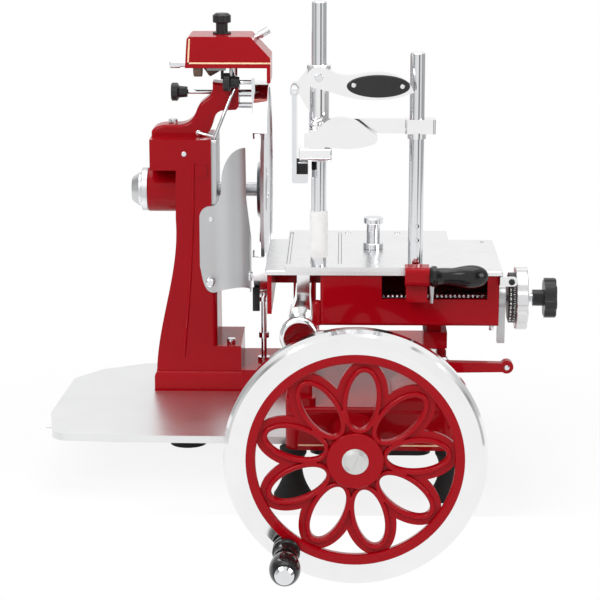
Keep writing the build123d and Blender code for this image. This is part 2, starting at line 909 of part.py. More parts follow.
# ---- blade column --------------------------------------------------------------------------------
column_depth = column_back_low - column_front
with BuildPart() as blade_column:
    # foot with a rounded top edge
    block(
        (column_left, column_foot_front, tray_top),
        (column_step_right, column_back_low, tray_top + column_foot_height),
    )
    foot_top = blade_column.faces().sort_by(Axis.Z)[-1].edges()
    fillet(foot_top.filter_by(lambda e: e.center().X < column_step_right - 1.0), radius=column_foot_round)
    with BuildSketch(front_view(column_front)) as outline:
        with BuildLine():
            Spline(
                (column_left + 3.0, tray_top + column_foot_height),
                (column_left + 12.0, 176.0),
                (column_left + 26.0, 243.0),
                (column_left + 33.0, flange_bottom),
            )
            Polyline(
                (column_left + 33.0, flange_bottom),
                (column_left + 34.0, head_bottom),
                (head_left, head_bottom),
                (head_left, head_top),
                (column_right - flange_thickness, head_top),
                (column_right - flange_thickness, flange_bottom),
                (column_right, flange_bottom - 6.0),
                (column_right, column_step_z),
                (column_step_right, column_step_z),
                (column_step_right, tray_top),
                (column_left + 3.0, tray_top),
                (column_left + 3.0, tray_top + column_foot_height),
            )
        make_face()
    extrude(outline.sketch, amount=-column_depth)
    # the back leans in towards the head
    with BuildSketch(side_view(head_left - 30.0)) as lean:
        with BuildLine():
            Polyline(
                (column_foot_front - 1.0, tray_top),
                (column_back_low, tray_top),
                (column_back_low, tray_top + column_foot_height),
                (column_back_high, flange_bottom),
                (column_back_high, head_top),
                (column_foot_front - 1.0, head_top),
                close=True,
            )
        make_face()
    extrude(lean.sketch, amount=column_step_right - head_left + 60.0, mode=Mode.INTERSECT)
    front_right = blade_column.edges().filter_by(Axis.Z).filter_by(
        lambda e: e.center().Y < column_front + 0.5 and abs(e.center().X - column_right) < 0.5
    )
    fillet(front_right, radius=column_round)
    # spindle boss on the left
    turn(
        blade_axis,
        [
            (column_right - 20.0, 0),
            (column_right - 20.0, spindle_boss_r),
            (spindle_boss_end + 2.0, spindle_boss_r),
            (spindle_boss_end, spindle_boss_r - 2.0),
            (spindle_boss_end, 0),
        ],
    )
    # bearing seats, spindle bore, chain bay and the bore of the cross shaft
    rod(blade_axis, spindle_boss_end - 1.0, spindle_boss_end + bearing_width, bearing_r, mode=Mode.SUBTRACT)
    rod(
        blade_axis,
        column_right - flange_thickness - bearing_width,
        column_right + 1.0,
        bearing_r,
        mode=Mode.SUBTRACT,
    )
    rod(blade_axis, spindle_boss_end, column_right, blade_shaft_r + air, mode=Mode.SUBTRACT)
    block(
        (chain_bay_left, blade_y - chain_clear_r, tray_top),
        (chain_bay_right, blade_y + chain_clear_r, blade_z),
        mode=Mode.SUBTRACT,
    )
    rod(blade_axis, chain_bay_left, chain_bay_right, chain_clear_r, mode=Mode.SUBTRACT)
    rod(cross_axis, cross_shaft_end - air, chain_bay_left + 1.0, cross_shaft_r + run, mode=Mode.SUBTRACT)
    rod(cross_axis, chain_bay_right - 1.0, column_step_right + 1.0, cross_shaft_r + air, mode=Mode.SUBTRACT)
    # clamping holes of the deflector
    rod(
        along_y(deflector_knob_x, deflector_knob_z),
        column_front - 1.0,
        column_front + 16.0,
        guard_post_r + run,
        mode=Mode.SUBTRACT,
    )
    # a small bare pad cast on the near face
    block(
        (pad_left, column_front - pad_height, pad_bottom),
        (pad_left + pad_side, column_front + 1.0, pad_bottom + pad_side),
    )
keep(blade_column, "blade_column")

with BuildPart() as housing_flange:
    block(
        (column_right - flange_thickness + run, column_front + 4.0, flange_bottom + run),
        (column_right, column_back_high - 4.0, head_top),
    )
    rod(blade_axis, column_right - flange_thickness - 1.0, column_right + 1.0, blade_shaft_r + air, mode=Mode.SUBTRACT)
    fillet(housing_flange.edges().filter_by(Axis.X).filter_by(GeomType.LINE), radius=6.0)
keep(housing_flange, "housing_flange")

with BuildPart() as shaft_bearings:
    for start in (spindle_boss_end, column_right - flange_thickness - bearing_width):
        rod(blade_axis, start + 0.5, start + bearing_width - 0.5, bearing_r - run, blade_shaft_r + run)
keep(shaft_bearings, "shaft_bearings")

with BuildPart() as bearing_cap:
    flange_end = spindle_boss_end - cap_flange_depth
    turn(
        blade_axis,
        [
            (spindle_boss_end, blade_shaft_r + air),
            (spindle_boss_end, cap_flange_r),
            (flange_end + 1.0, cap_flange_r),
            (flange_end, cap_flange_r - 1.0),
            (flange_end, cap_cone_r),
            (flange_end - 4.0, cap_cone_r),
            (cap_nose_x + 2.0, cap_nose_r),
            (cap_nose_x, cap_nose_r - 2.0),
            (cap_nose_x, 0),
            (flange_end, 0),
            (flange_end, blade_shaft_r + air),
        ],
    )
keep(bearing_cap, "bearing_cap")

# ---- blade spindle -------------------------------------------------------------------------------
with BuildPart() as blade:
    turn(
        blade_axis,
        [
            (blade_face_x, blade_shaft_r + run),
            (blade_face_x - blade_nut_depth, blade_shaft_r + run),
            (blade_back_x - blade_hub_depth, blade_shaft_r + run),
            (blade_back_x - blade_hub_depth, blade_hub_r - 4.0),
            (blade_back_x - blade_hub_depth + 4.0, blade_hub_r),
            (blade_back_x, blade_hub_r + 3.0),
            (blade_back_x, blade_r - blade_bevel),
            (blade_face_x, blade_r),
            (blade_face_x, blade_r - 4.0),
            (blade_face_x - blade_dish_depth, blade_dish_r),
            (blade_face_x - blade_dish_depth, blade_nut_r + 6.0),
            (blade_face_x - blade_nut_depth, blade_nut_r + 5.0),
            (blade_face_x - blade_nut_depth, blade_shaft_r + run),
        ][1:],
    )
keep(blade, "blade")

with BuildPart() as blade_shaft:
    # the shaft ends in the thin round head that clamps the blade
    turn(
        blade_axis,
        [
            (spindle_boss_end - 3.0, 0),
            (spindle_boss_end - 3.0, blade_shaft_r),
            (blade_face_x - blade_nut_depth, blade_shaft_r),
            (blade_face_x - blade_nut_depth, blade_nut_r),
            (blade_face_x - 0.8, blade_nut_r),
            (blade_face_x, blade_nut_r - 1.0),
            (blade_face_x, 0),
        ],
    )
keep(blade_shaft, "blade_shaft")


# ---- blade guard, brackets and slice deflector -----------------------------------------------------


def guard_band(inner, outer, start, end, mode=Mode.ADD):
    """Ring about the blade axis from one x to another."""
    rod(blade_axis, start, end, outer, inner, mode)


def outside_point(angle, radius):
    """Point beside the blade: angle 0 looks at the near side, 90 at the top."""
    return (blade_y - radius * cos(radians(angle)), blade_z + radius * sin(radians(angle)))


with BuildPart() as blade_guard_ring:
    guard_band(guard_outer_r - guard_sheet, guard_outer_r, guard_left, guard_right)
    guard_band(guard_inner_r, guard_outer_r, guard_left, guard_left + guard_sheet)
    guard_band(guard_outer_r - 9.0, guard_outer_r, guard_right - 1.4, guard_right)
    # the cutting edge is open on the near side
    with BuildSketch(side_view(guard_left - 1.0)) as mouth:
        with BuildLine():
            Polyline(
                (blade_y, blade_z),
                outside_point(guard_gap_low, guard_outer_r * 1.5),
                outside_point((guard_gap_low + guard_gap_high) / 2, guard_outer_r * 1.6),
                outside_point(guard_gap_high, guard_outer_r * 1.5),
                close=True,
            )
        make_face()
    extrude(mouth.sketch, amount=guard_right - guard_left + 2.0, mode=Mode.SUBTRACT)
keep(blade_guard_ring, "blade_guard_ring")

with BuildPart() as guard_brackets:
    # two bars from the arm to the ring, with a low link and an eye for the knob
    top_z = blade_z + guard_outer_r
    hanger_left = guard_left - guard_hanger
    eye_z = guard_knob_z + guard_eye_r
    block((hanger_left, blade_y - 14.0, 476.0), (guard_left - run, blade_y + 10.0, top_z - 4.0))
    block((hanger_left, guard_knob_y, 500.0), (guard_left - run, blade_y - 13.0, top_z - 2.0))
    block((hanger_left, guard_knob_y - 4.0, 500.0), (guard_left - run, guard_knob_y + 4.0, eye_z))
    for z, radius in ((510.0 - 6.0, 5.5), (487.0, 4.5)):
        rod(along_x(blade_y - 6.0, z), arm_right, hanger_left, radius)
    rod(
        along_x(guard_knob_y, guard_knob_z),
        guard_left - 6.0,
        guard_left + 1.0,
        clamp_rod_r + run,
        mode=Mode.SUBTRACT,
    )
    # post from the bridge up to the bottom of the ring, with its collars
    post = along_z(guard_post_x, blade_y)
    ring_low = blade_z - guard_outer_r - gap
    turn(
        post,
        [
            (bridge_top, 0),
            (bridge_top, 9.0),
            (bridge_top + 5.0, 9.0),
            (bridge_top + 5.0, guard_post_r),
            (bridge_top + 34.0, guard_post_r),
            (bridge_top + 34.0, 7.5),
            (bridge_top + 42.0, 7.5),
            (bridge_top + 42.0, guard_post_r),
            (ring_low - 9.0, guard_post_r),
            (ring_low - 9.0, 7.0),
            (ring_low, 7.0),
            (ring_low, 0),
        ],
    )
keep(guard_brackets, "guard_brackets")

with BuildPart() as slice_deflector:
    flat_y = column_front - gap - deflector_sheet / 2
    bend_r = deflector_edge_x - deflector_bend_x
    bend_y = flat_y - bend_r
    with BuildSketch(Plane.XY) as plan:
        # a quarter bend, then the flat part on its left and the straight end towards the blade
        with Locations((deflector_bend_x, bend_y)):
            Circle(bend_r + deflector_sheet / 2)
            Circle(bend_r - deflector_sheet / 2, mode=Mode.SUBTRACT)
        with Locations((deflector_bend_x + bend_r, bend_y + bend_r)):
            Rectangle(bend_r * 2, bend_r * 2, mode=Mode.INTERSECT)
        with Locations(((deflector_left + deflector_bend_x) / 2, flat_y)):
            Rectangle(deflector_bend_x - deflector_left + 0.2, deflector_sheet)
        with Locations((deflector_edge_x, (deflector_edge_y + bend_y) / 2)):
            Rectangle(deflector_sheet, bend_y - deflector_edge_y + 0.2)
    extrude(plan.sketch, amount=500.0)
    with BuildSketch(front_view(deflector_edge_y - 30.0)) as outline:
        with BuildLine():
            Spline((deflector_left, 334.0), (deflector_left + 5.0, 345.0), (deflector_left + 12.0, 349.0))
            Line((deflector_left + 12.0, 349.0), (-118.0, 350.0))
            Spline((-118.0, 350.0), (-110.0, 362.0), (-107.0, 392.0), (-98.0, 418.0), (-76.0, 436.0))
            Polyline((-76.0, 436.0), (-72.0, 437.0), (-71.0, 365.0))
            Spline((-71.0, 365.0), (-68.0, 342.0), (deflector_edge_x + 3.0, 300.0))
            Polyline((deflector_edge_x + 3.0, 300.0), (deflector_edge_x + 3.0, 240.0), (-111.0, 226.0))
            Spline((-111.0, 226.0), (-127.0, 226.0), (-135.0, 242.0), (deflector_left, 262.0))
            Line((deflector_left, 262.0), (deflector_left, 334.0))
        make_face()
    extrude(outline.sketch, amount=-100.0, mode=Mode.INTERSECT)
    rod(
        along_y(deflector_knob_x, deflector_knob_z),
        column_front - 10.0,
        column_front + 1.0,
        guard_post_r + gap,
        mode=Mode.SUBTRACT,
    )
keep(slice_deflector, "slice_deflector")

with BuildPart() as deflector_knob:
    sheet_front = column_front - gap - deflector_sheet
    turn(
        along_y(deflector_knob_x, deflector_knob_z),
        [
            (column_front + 14.0, 0),
            (column_front + 14.0, guard_post_r),
            (sheet_front - gap, guard_post_r),
            (sheet_front - gap, deflector_knob_r + 1.0),
            (sheet_front - 7.0, deflector_knob_r),
            (sheet_front - 11.0, deflector_knob_r),
            (sheet_front - 12.0, deflector_knob_r - 1.5),
            (sheet_front - 12.0, 0),
        ],
    )
keep(deflector_knob, "deflector_knob")

# ---- slice tray ----------------------------------------------------------------------------------
tray_right = base_left - gap
notch_front = column_foot_front - 6.0 - gap
notch_left = column_left - gap
tray_corners = [
    (tray_right, 11.0),
    (-228.0, 14.0),
    (-325.0, 21.0),
    (-340.0, 120.0),
    (-330.0, 300.0),
    (-292.0, 352.0),
    (-234.0, 384.0),
    (notch_left, 388.0),
    (notch_left, notch_front),
    (tray_right, notch_front),
]
with BuildPart() as slice_tray:
    with BuildSketch(Plane.XY.offset(tray_bottom)) as plate:
        with BuildLine():
            Polyline(*tray_corners, close=True)
        make_face()
        left_side = plate.vertices().filter_by(lambda v: v.X < -230.0 and v.X > -345.0)
        fillet(left_side.sort_by(Axis.X)[:4], radius=26.0)
    extrude(plate.sketch, amount=tray_top - tray_bottom)
    under = offset(plate.sketch, amount=-tray_skirt, mode=Mode.PRIVATE)
    extrude(under, amount=tray_top - tray_bottom - tray_sheet, mode=Mode.SUBTRACT)
    block(
        (column_left - tray_skirt, wing_front - tray_skirt, tray_bottom),
        (tray_right + 1.0, notch_front + 1.0, tray_top - tray_sheet),
        mode=Mode.SUBTRACT,
    )
keep(slice_tray, "slice_tray")

# ---- carriage rails and trip arm -----------------------------------------------------------------
with BuildPart() as carriage_rail:
    cap_back = rail_cap_front + rail_cap_depth
    with BuildSketch(rail_axis):
        with BuildLine():
            Line((rail_cap_front, 0), (rail_cap_front, rail_cap_r - 6.0))
            Spline(
                (rail_cap_front, rail_cap_r - 6.0),
                (rail_cap_front + 2.0, rail_cap_r - 1.5),
                (rail_cap_front + 5.0, rail_cap_r),
            )
            Polyline(
                (rail_cap_front + 5.0, rail_cap_r),
                (cap_back, rail_cap_r),
                (cap_back + 2.0, rail_seat_r),
                (rail_seat_end, rail_seat_r),
                (rail_seat_end + 12.0, rail_r),
                (rail_back, rail_r),
                (rail_back, 0),
                (rail_cap_front, 0),
            )
        make_face()
    revolve(axis=Axis(rail_axis.origin, rail_axis.x_dir))
keep(carriage_rail, "carriage_rail")

with BuildPart() as guide_rail:
    block(
        (guide_left, guide_front, guide_bottom),
        (guide_left + guide_width, guide_back, guide_bottom + guide_height),
    )
    chamfer(guide_rail.edges().filter_by(Axis.Y), length=1.5)
keep(guide_rail, "guide_rail")

with BuildPart() as trip_arm:
    block(
        (trip_post_left, trip_front, base_top),
        (trip_post_left + 14.0, trip_front + trip_width, trip_z + 7.0),
        3.0,
    )
    rod(along_y(dome_x, dome_z), trip_front - 1.0, trip_front + trip_width + 1.0, dome_r, mode=Mode.SUBTRACT)
    with BuildSketch(front_view(trip_front + 2.0)) as arm_side:
        with BuildLine():
            Polyline(
                (trip_post_left + 4.0, trip_z - 8.5),
                (trip_eye_x, trip_z - 7.0),
                (trip_eye_x, trip_z + 5.0),
                (trip_post_left + 4.0, trip_z + 6.5),
                close=True,
            )
        make_face()
        with Locations((trip_eye_x, trip_z)):
            Circle(trip_eye_r)
            Circle(trip_eye_hole_r, mode=Mode.SUBTRACT)
    extrude(arm_side.sketch, amount=-(trip_width - 4.0))
keep(trip_arm, "trip_arm")

# ---- carriage ------------------------------------------------------------------------------------
with BuildPart() as carriage_sleeve:
    rod(rail_axis, sleeve_front, sleeve_front + sleeve_length, sleeve_r)
    with BuildSketch(front_view(sleeve_front)) as web:
        with BuildLine():
            Polyline(
                (rail_x - sleeve_r + 3.0, rail_z + 8.0),
                (rail_x + sleeve_r - 3.0, rail_z + 8.0),
                (neck_top_x + neck_width / 2, rail_z + 34.0),
                (neck_top_x + neck_width / 2, plate_bottom),
                (neck_top_x - neck_width / 2, plate_bottom),
                (neck_top_x - neck_width / 2, rail_z + 34.0),
                close=True,
            )
        make_face()
    extrude(web.sketch, amount=-sleeve_length)
    rod(rail_axis, sleeve_front - 1.0, sleeve_front + sleeve_length + 1.0, rail_r + run, mode=Mode.SUBTRACT)
keep(carriage_sleeve, "carriage_sleeve")

with BuildPart() as carriage_housing:
    block(
        (feed_bay_left, housing_front, housing_bottom),
        (housing_right, housing_back, plate_bottom),
    )
    front_edges = carriage_housing.edges().filter_by(lambda e: e.center().Y < housing_front + 0.5)
    fillet(front_edges.filter_by(lambda e: e.center().Z < plate_bottom - 0.5), radius=housing_round)
    block(
        (feed_bay_left + housing_wall, housing_front + housing_wall, housing_bottom + housing_wall),
        (housing_right - housing_wall, housing_back - housing_wall, plate_bottom),
        mode=Mode.SUBTRACT,
    )
    # hood over the round rail: left wall, and a back wall that clears the rail
    block((housing_left, housing_front, rail_bay_lip), (housing_left + housing_wall, housing_back, plate_bottom))
    block((housing_left, housing_back - housing_wall, rail_bay_lip), (feed_bay_left + 1.0, housing_back, plate_bottom))
    # window of the half nut
    block(
        (window_left, housing_front - 1.0, window_bottom),
        (window_right, housing_front + housing_wall + 1.0, plate_bottom),
        mode=Mode.SUBTRACT,
    )
    # bosses: the little round one at the left, and the seat of the feed screw in each end wall
    boss_y = housing_front + 9.0
    boss_x = feed_bay_left - 4.0
    turn(
        along_z(boss_x, boss_y),
        [
            (housing_bottom, 0),
            (housing_bottom, carriage_boss_r),
            (carriage_boss_top - 5.0, carriage_boss_r),
            (carriage_boss_top - 1.5, carriage_boss_r * 0.7),
            (carriage_boss_top, 0),
        ],
    )
    block(
        (screw_start - 12.0, screw_y - 14.0, housing_bottom + 1.0),
        (screw_start + 2.0, screw_y + 14.0, screw_z + 16.0),
    )
    rod(screw_axis, housing_right - housing_wall - 8.0, housing_right, trip_lever_hub_r)
    rod(screw_axis, screw_start - air, housing_right + 1.0, screw_r + run, mode=Mode.SUBTRACT)
    # guide shoe that rides over the flat rail
    block((shoe_left + 4.0, shoe_front + 4.0, shoe_top - 1.0), (shoe_right - 8.0, shoe_front + shoe_length - 4.0, housing_bottom + 1.0))
    block(
        (shoe_left, shoe_front, guide_bottom + guide_height + gap),
        (shoe_right, shoe_front + shoe_length, shoe_top),
    )
keep(carriage_housing, "carriage_housing")

with BuildPart() as carriage_plate:
    block(
        (plate_left, plate_front, plate_bottom),
        (plate_right, plate_back, plate_bottom + plate_thickness),
        3.0,
    )
    chamfer(carriage_plate.faces().sort_by(Axis.Z)[-1].edges(), length=0.8)
keep(carriage_plate, "carriage_plate")

with BuildPart() as index_bracket:
    block(
        (housing_right, index_front, index_bottom),
        (index_right, index_front + 7.0, index_bottom + index_height),
    )
    block(
        (housing_right, index_front, index_bottom),
        (housing_right + 5.0, housing_front + 24.0, index_bottom + index_height),
    )
    fillet(
        index_bracket.edges().filter_by(Axis.Y).filter_by(lambda e: e.center().X > index_right - 1.0),
        radius=5.0,
    )
keep(index_bracket, "index_bracket")

# ---- feed screw, dial, scalloped wheel, knob and trip lever -----------------------------------------
with BuildPart() as feed_screw:
    turn(
        screw_axis,
        [
            (screw_start, 0),
            (screw_start, screw_r),
            (screw_step_x, screw_r),
            (screw_step_x, screw_tail_r),
            (screw_tail_end, screw_tail_r),
            (screw_tail_end, 0),
        ],
    )
keep(feed_screw, "feed_screw")

with BuildPart() as thickness_dial:
    turn(
        screw_axis,
        [
            (dial_left, screw_tail_r + run),
            (dial_left, dial_r - 5.0),
            (dial_left + 1.5, dial_r),
            (dial_left + dial_width, dial_r),
            (dial_left + dial_width, screw_tail_r + run),
        ],
    )
keep(thickness_dial, "thickness_dial")

with BuildPart() as scalloped_wheel:
    with BuildSketch(Plane(origin=(scallop_left, screw_y, screw_z), x_dir=(0, 1, 0), z_dir=(1, 0, 0))) as wheel:
        Circle(scallop_wheel_r)
        with PolarLocations(scallop_wheel_r + scallop_cut_r * 0.62, scallop_count, start_angle=9.0):
            Circle(scallop_cut_r, mode=Mode.SUBTRACT)
        Circle(screw_tail_r + run, mode=Mode.SUBTRACT)
    extrude(wheel.sketch, amount=scallop_wheel_width)
    chamfer(scalloped_wheel.faces().filter_by(Axis.X).edges().filter_by(lambda e: e.length > 6.0 and e.center().X > 0), length=1.0)
keep(scalloped_wheel, "scalloped_wheel")

with BuildPart() as feed_knob:
    rod(screw_axis, knob_neck_left, knob_head_left + 1.0, knob_neck_r)
    with BuildSketch(Plane(origin=(knob_head_left, screw_y, screw_z), x_dir=(0, 1, 0), z_dir=(1, 0, 0))) as star:
        Circle(knob_head_r)
        with PolarLocations(knob_head_r + 6.5, knob_lobes, start_angle=12.0):
            Circle(10.0, mode=Mode.SUBTRACT)
        fillet(star.vertices(), radius=3.0)
    extrude(star.sketch, amount=knob_head_width)
    fillet(feed_knob.faces().sort_by(Axis.X)[-1].edges(), radius=2.5)
    rod(screw_axis, knob_neck_left - 1.0, screw_tail_end + run, screw_tail_r + run, mode=Mode.SUBTRACT)
keep(feed_knob, "feed_knob")

with BuildPart() as trip_lever:
    lever_left = housing_right + gap
    with BuildSketch(side_view(lever_left)) as lever:
        with Locations((screw_y, screw_z)):
            Circle(trip_lever_hub_r)
        with BuildLine():
            Polyline(
                (screw_y - 9.0, screw_z),
                (screw_y + 9.0, screw_z),
                (screw_y + 6.5, trip_lever_tip_z),
                (screw_y - 6.5, trip_lever_tip_z),
                close=True,
            )
        make_face()
        with Locations((screw_y, screw_z)):
            Circle(screw_r + run, mode=Mode.SUBTRACT)
    extrude(lever.sketch, amount=trip_lever_width)
keep(trip_lever, "trip_lever")

# ---- meat table, half nut and release handle --------------------------------------------------------
with BuildPart() as meat_table:
    block((table_left, table_front, table_bottom), (table_right, table_back, table_top), 2.0)
    for x in groove_xs:
        block(
            (x - groove_width / 2, groove_front, table_top - groove_depth),
            (x + groove_width / 2, groove_back, table_top),
            groove_width / 2 - 0.1,
            mode=Mode.SUBTRACT,
        )
    # ear of the half nut, under the front edge
    block((ear_left, nut_pivot_y - 6.0, ear_bottom), (ear_left + ear_width, table_front + 1.0, table_top - 1.0))
    rod(nut_axis, ear_left - 1.0, ear_left + ear_width + 1.0, nut_pin_r + run, mode=Mode.SUBTRACT)
keep(meat_table, "meat_table")

with BuildPart() as table_columns:
    for x, top in ((left_column_x, left_column_top), (right_column_x, right_column_top)):
        turn(
            along_z(x, column_y),
            [
                (table_top, 0),
                (table_top, column_r),
                (top - 1.5, column_r),
                (top, column_r - 1.5),
                (top, 0),
            ],
        )
keep(table_columns, "table_columns")

with BuildPart() as column_sleeve:
    rod(
        along_z(left_column_x, column_y),
        sleeve_cover_bottom,
        sleeve_cover_bottom + sleeve_cover_height,
        sleeve_cover_r,
        column_r + run,
    )
keep(column_sleeve, "column_sleeve")

with BuildPart() as table_knob:
    base_z = table_top + gap
    stem_z = base_z + knob_base_height
    top_z = stem_z + knob_stem_height
    turn(
        along_z(table_knob_x, table_knob_y),
        [
            (base_z, 0),
            (base_z, knob_base_r),
            (stem_z - 1.0, knob_base_r),
            (stem_z, knob_base_r - 1.0),
            (stem_z, knob_stem_r),
            (top_z, knob_stem_r),
            (top_z, knob_top_r - 1.0),
            (top_z + 1.0, knob_top_r),
            (top_z + knob_top_height - 1.0, knob_top_r),
            (top_z + knob_top_height, knob_top_r - 1.0),
            (top_z + knob_top_height, 0),
        ],
    )
keep(table_knob, "table_knob")

with BuildPart() as release_lever:
    block((nut_left, nut_front, nut_bottom), (nut_right, nut_back, nut_top))
    fillet(release_lever.edges().filter_by(Axis.X).group_by(Axis.Y)[0], radius=7.0)
    block((nut_left + 2.0, nut_back - 12.0, nut_arm_bottom), (nut_right - 2.0, screw_y + nut_saddle_half, nut_arm_top))
    block((nut_left + 2.0, nut_back - 12.0, nut_arm_bottom), (nut_right - 2.0, nut_back, nut_bottom + 1.0))
    block(
        (ear_left - gap, nut_pivot_y - 6.0 - air, ear_bottom - 2.0),
        (ear_left + ear_width + gap, nut_back + 1.0, nut_top - 3.0),
        mode=Mode.SUBTRACT,
    )
    rod(screw_axis, nut_left, nut_right, screw_r + gap, mode=Mode.SUBTRACT)
    block((nut_left, screw_y - nut_saddle_half - 1.0, nut_arm_bottom - 12.0), (nut_right, screw_y + nut_saddle_half + 1.0, screw_z + 2.0), mode=Mode.SUBTRACT)
    rod(nut_axis, nut_left + 4.0, nut_right - 4.0, nut_pin_r)
    rod(along_x(release_y + 4.0, release_z), nut_right - 1.0, release_grip_left + 10.0, 6.0)
keep(release_lever, "release_lever")

with BuildPart() as release_grip:
    grip_axis = along_x(release_y + 4.0 - 4.0, release_z)
    grip_end = release_grip_left + release_grip_length
    with BuildSketch(grip_axis):
        with BuildLine():
            Polyline(
                (release_grip_left - 3.0, 0),
                (release_grip_left - 3.0, release_grip_r - 3.0),
                (release_grip_left, release_grip_r - 1.0),
                (release_grip_left + 5.0, release_grip_r - 1.0),
                (release_grip_left + 7.0, release_grip_r - 3.5),
            )
            Spline(
                (release_grip_left + 7.0, release_grip_r - 3.5),
                (release_grip_left + 30.0, release_grip_r - 3.0),
                (release_grip_left + 56.0, release_grip_r),
                (grip_end - 4.0, release_grip_r * 0.62),
                (grip_end, 0),
            )
            Line((grip_end, 0), (release_grip_left - 3.0, 0))
        make_face()
    revolve(axis=Axis(grip_axis.origin, grip_axis.x_dir))
    rod(along_x(release_y + 4.0, release_z), nut_right - 1.0, release_grip_left + 10.0, 6.0 + run, mode=Mode.SUBTRACT)
keep(release_grip, "release_grip")

# ---- meat press ----------------------------------------------------------------------------------
left_column = along_z(left_column_x, column_y)
right_column = along_z(right_column_x, column_y)
with BuildPart() as press_slider:
    turn(
        left_column,
        [
            (press_tube_bottom, 0),
            (press_tube_bottom, press_tube_r),
            (press_tube_top - press_collar_height, press_tube_r),
            (press_tube_top - press_collar_height, press_collar_r - 1.0),
            (press_tube_top - press_collar_height + 1.0, press_collar_r),
            (press_tube_top - 1.0, press_collar_r),
            (press_tube_top, press_collar_r - 1.0),
            (press_tube_top, 0),
        ],
    )
    # ball boss and the neck to the cross tube in front of the column
    with Locations((left_column_x - 3.0, column_y - 15.0, press_tube_bottom + 18.0)):
        Sphere(10.0)
    block(
        (left_column_x - 12.0, cross_tube_y - 7.0, cross_tube_z),
        (left_column_x + 8.0, column_y - sleeve_cover_r - 1.0, press_tube_bottom + 14.0),
    )
    cross_tube = along_x(cross_tube_y, cross_tube_z)
    turn(
        cross_tube,
        [
            (cross_tube_left, 0),
            (cross_tube_left, cross_tube_r - 1.0),
            (cross_tube_left + 1.0, cross_tube_r),
            (cross_tube_right - 2.0, cross_tube_r),
            (cross_tube_right, cross_tube_r - 2.0),
            (cross_tube_right, 0),
        ],
    )
    # leaf shaped thumb rest
    with BuildSketch(front_view(cross_tube_y - 6.0)) as leaf:
        with BuildLine():
            Spline(
                (14.0, 486.0),
                (30.0, 492.0),
                (44.0, 504.0),
                (60.0, 508.0),
                (82.0, 503.0),
                (98.0, 491.0),
                (109.0, 484.0),
            )
            Spline((109.0, 484.0), (108.0, 476.0), (98.0, 471.0), (70.0, 467.0), (40.0, 469.0), (14.0, 465.0))
            Line((14.0, 465.0), (14.0, 486.0))
        make_face()
    extrude(leaf.sketch, amount=-12.0)
    # web that carries the spiked plate's hinge on the left
    with BuildSketch(front_view(column_y - 6.0)) as web:
        with BuildLine():
            Polyline(
                (push_hinge_x, push_hinge_z + push_knuckle_r),
                (left_column_x - press_tube_r + 1.0, press_tube_top - 2.0),
                (left_column_x, press_tube_top - 2.0),
                (left_column_x, 512.0),
                (left_column_x - press_tube_r + 1.0, 512.0),
                (push_hinge_x + push_knuckle_r, push_hinge_z - push_knuckle_r),
                (push_hinge_x, push_hinge_z - push_knuckle_r),
                close=True,
            )
        make_face()
        with Locations((push_hinge_x, push_hinge_z)):
            Circle(push_knuckle_r)
    extrude(web.sketch, amount=-12.0)
    rod(
        along_y(push_hinge_x, push_hinge_z),
        column_y - push_knuckle_end,
        column_y + push_knuckle_end,
        push_pin_r,
    )
    # bar with the collar that slides on the right column
    bar_front = column_y - guide_bar_depth / 2
    bar_top = guide_bar_bottom + guide_bar_height
    block((left_column_x, column_y - 5.0, guide_bar_bottom), (guide_bar_right, column_y + 5.0, bar_top))
    block(
        (right_column_x - 16.0, bar_front, guide_bar_bottom),
        (guide_bar_right, bar_front + guide_bar_depth, bar_top),
        4.0,
    )
    rod(right_column, guide_bar_bottom - guide_collar_height, guide_bar_bottom + 1.0, guide_collar_r)
    rod(
        right_column,
        guide_bar_bottom - guide_collar_height - 1.0,
        bar_top + 1.0,
        column_r + run,
        mode=Mode.SUBTRACT,
    )
    rod(left_column, cross_tube_z - 20.0, press_tube_top + 1.0, column_r + run, mode=Mode.SUBTRACT)
    # pivot stud of the upper lever
    rod(along_y(lever_pivot_x, lever_pivot_z), lever_back - lever_thickness - 2.0, column_y - column_r - 1.0, lever_pin_r)
keep(press_slider, "press_slider")

with BuildPart() as press_lever:
    lever_front = lever_back - lever_thickness
    with BuildSketch(front_view(lever_front)) as lever:
        with BuildLine():
            Spline(
                (30.0, 573.0),
                (44.0, 571.0),
                (56.0, 565.0),
                (84.0, 564.0),
                (112.0, 567.0),
                (136.0, 562.0),
                (152.0, 550.0),
                (156.0, 541.0),
            )
            Spline((156.0, 541.0), (140.0, 535.0), (108.0, 531.0), (78.0, 533.0), (52.0, 540.0), (30.0, 546.0))
            Spline((30.0, 546.0), (19.0, 552.0), (19.0, 566.0), (30.0, 573.0))
        make_face()
        with Locations((lever_pivot_x, lever_pivot_z)):
            Circle(lever_pin_r + run, mode=Mode.SUBTRACT)
    extrude(lever.sketch, amount=-lever_thickness)
    with BuildSketch(front_view(lever_front)) as recess:
        with Locations((grip_plate_x, grip_plate_z)):
            Ellipse(grip_plate_long + gap, grip_plate_high + gap)
    extrude(recess.sketch, amount=-grip_plate_thickness / 2, mode=Mode.SUBTRACT)
keep(press_lever, "press_lever")

with BuildPart() as lever_grip:
    with BuildSketch(front_view(lever_front + grip_plate_thickness / 2)) as scale:
        with Locations((grip_plate_x, grip_plate_z)):
            Ellipse(grip_plate_long, grip_plate_high)
    extrude(scale.sketch, amount=grip_plate_thickness)
    fillet(lever_grip.faces().sort_by(Axis.Y)[0].edges(), radius=1.8)
keep(lever_grip, "lever_grip")

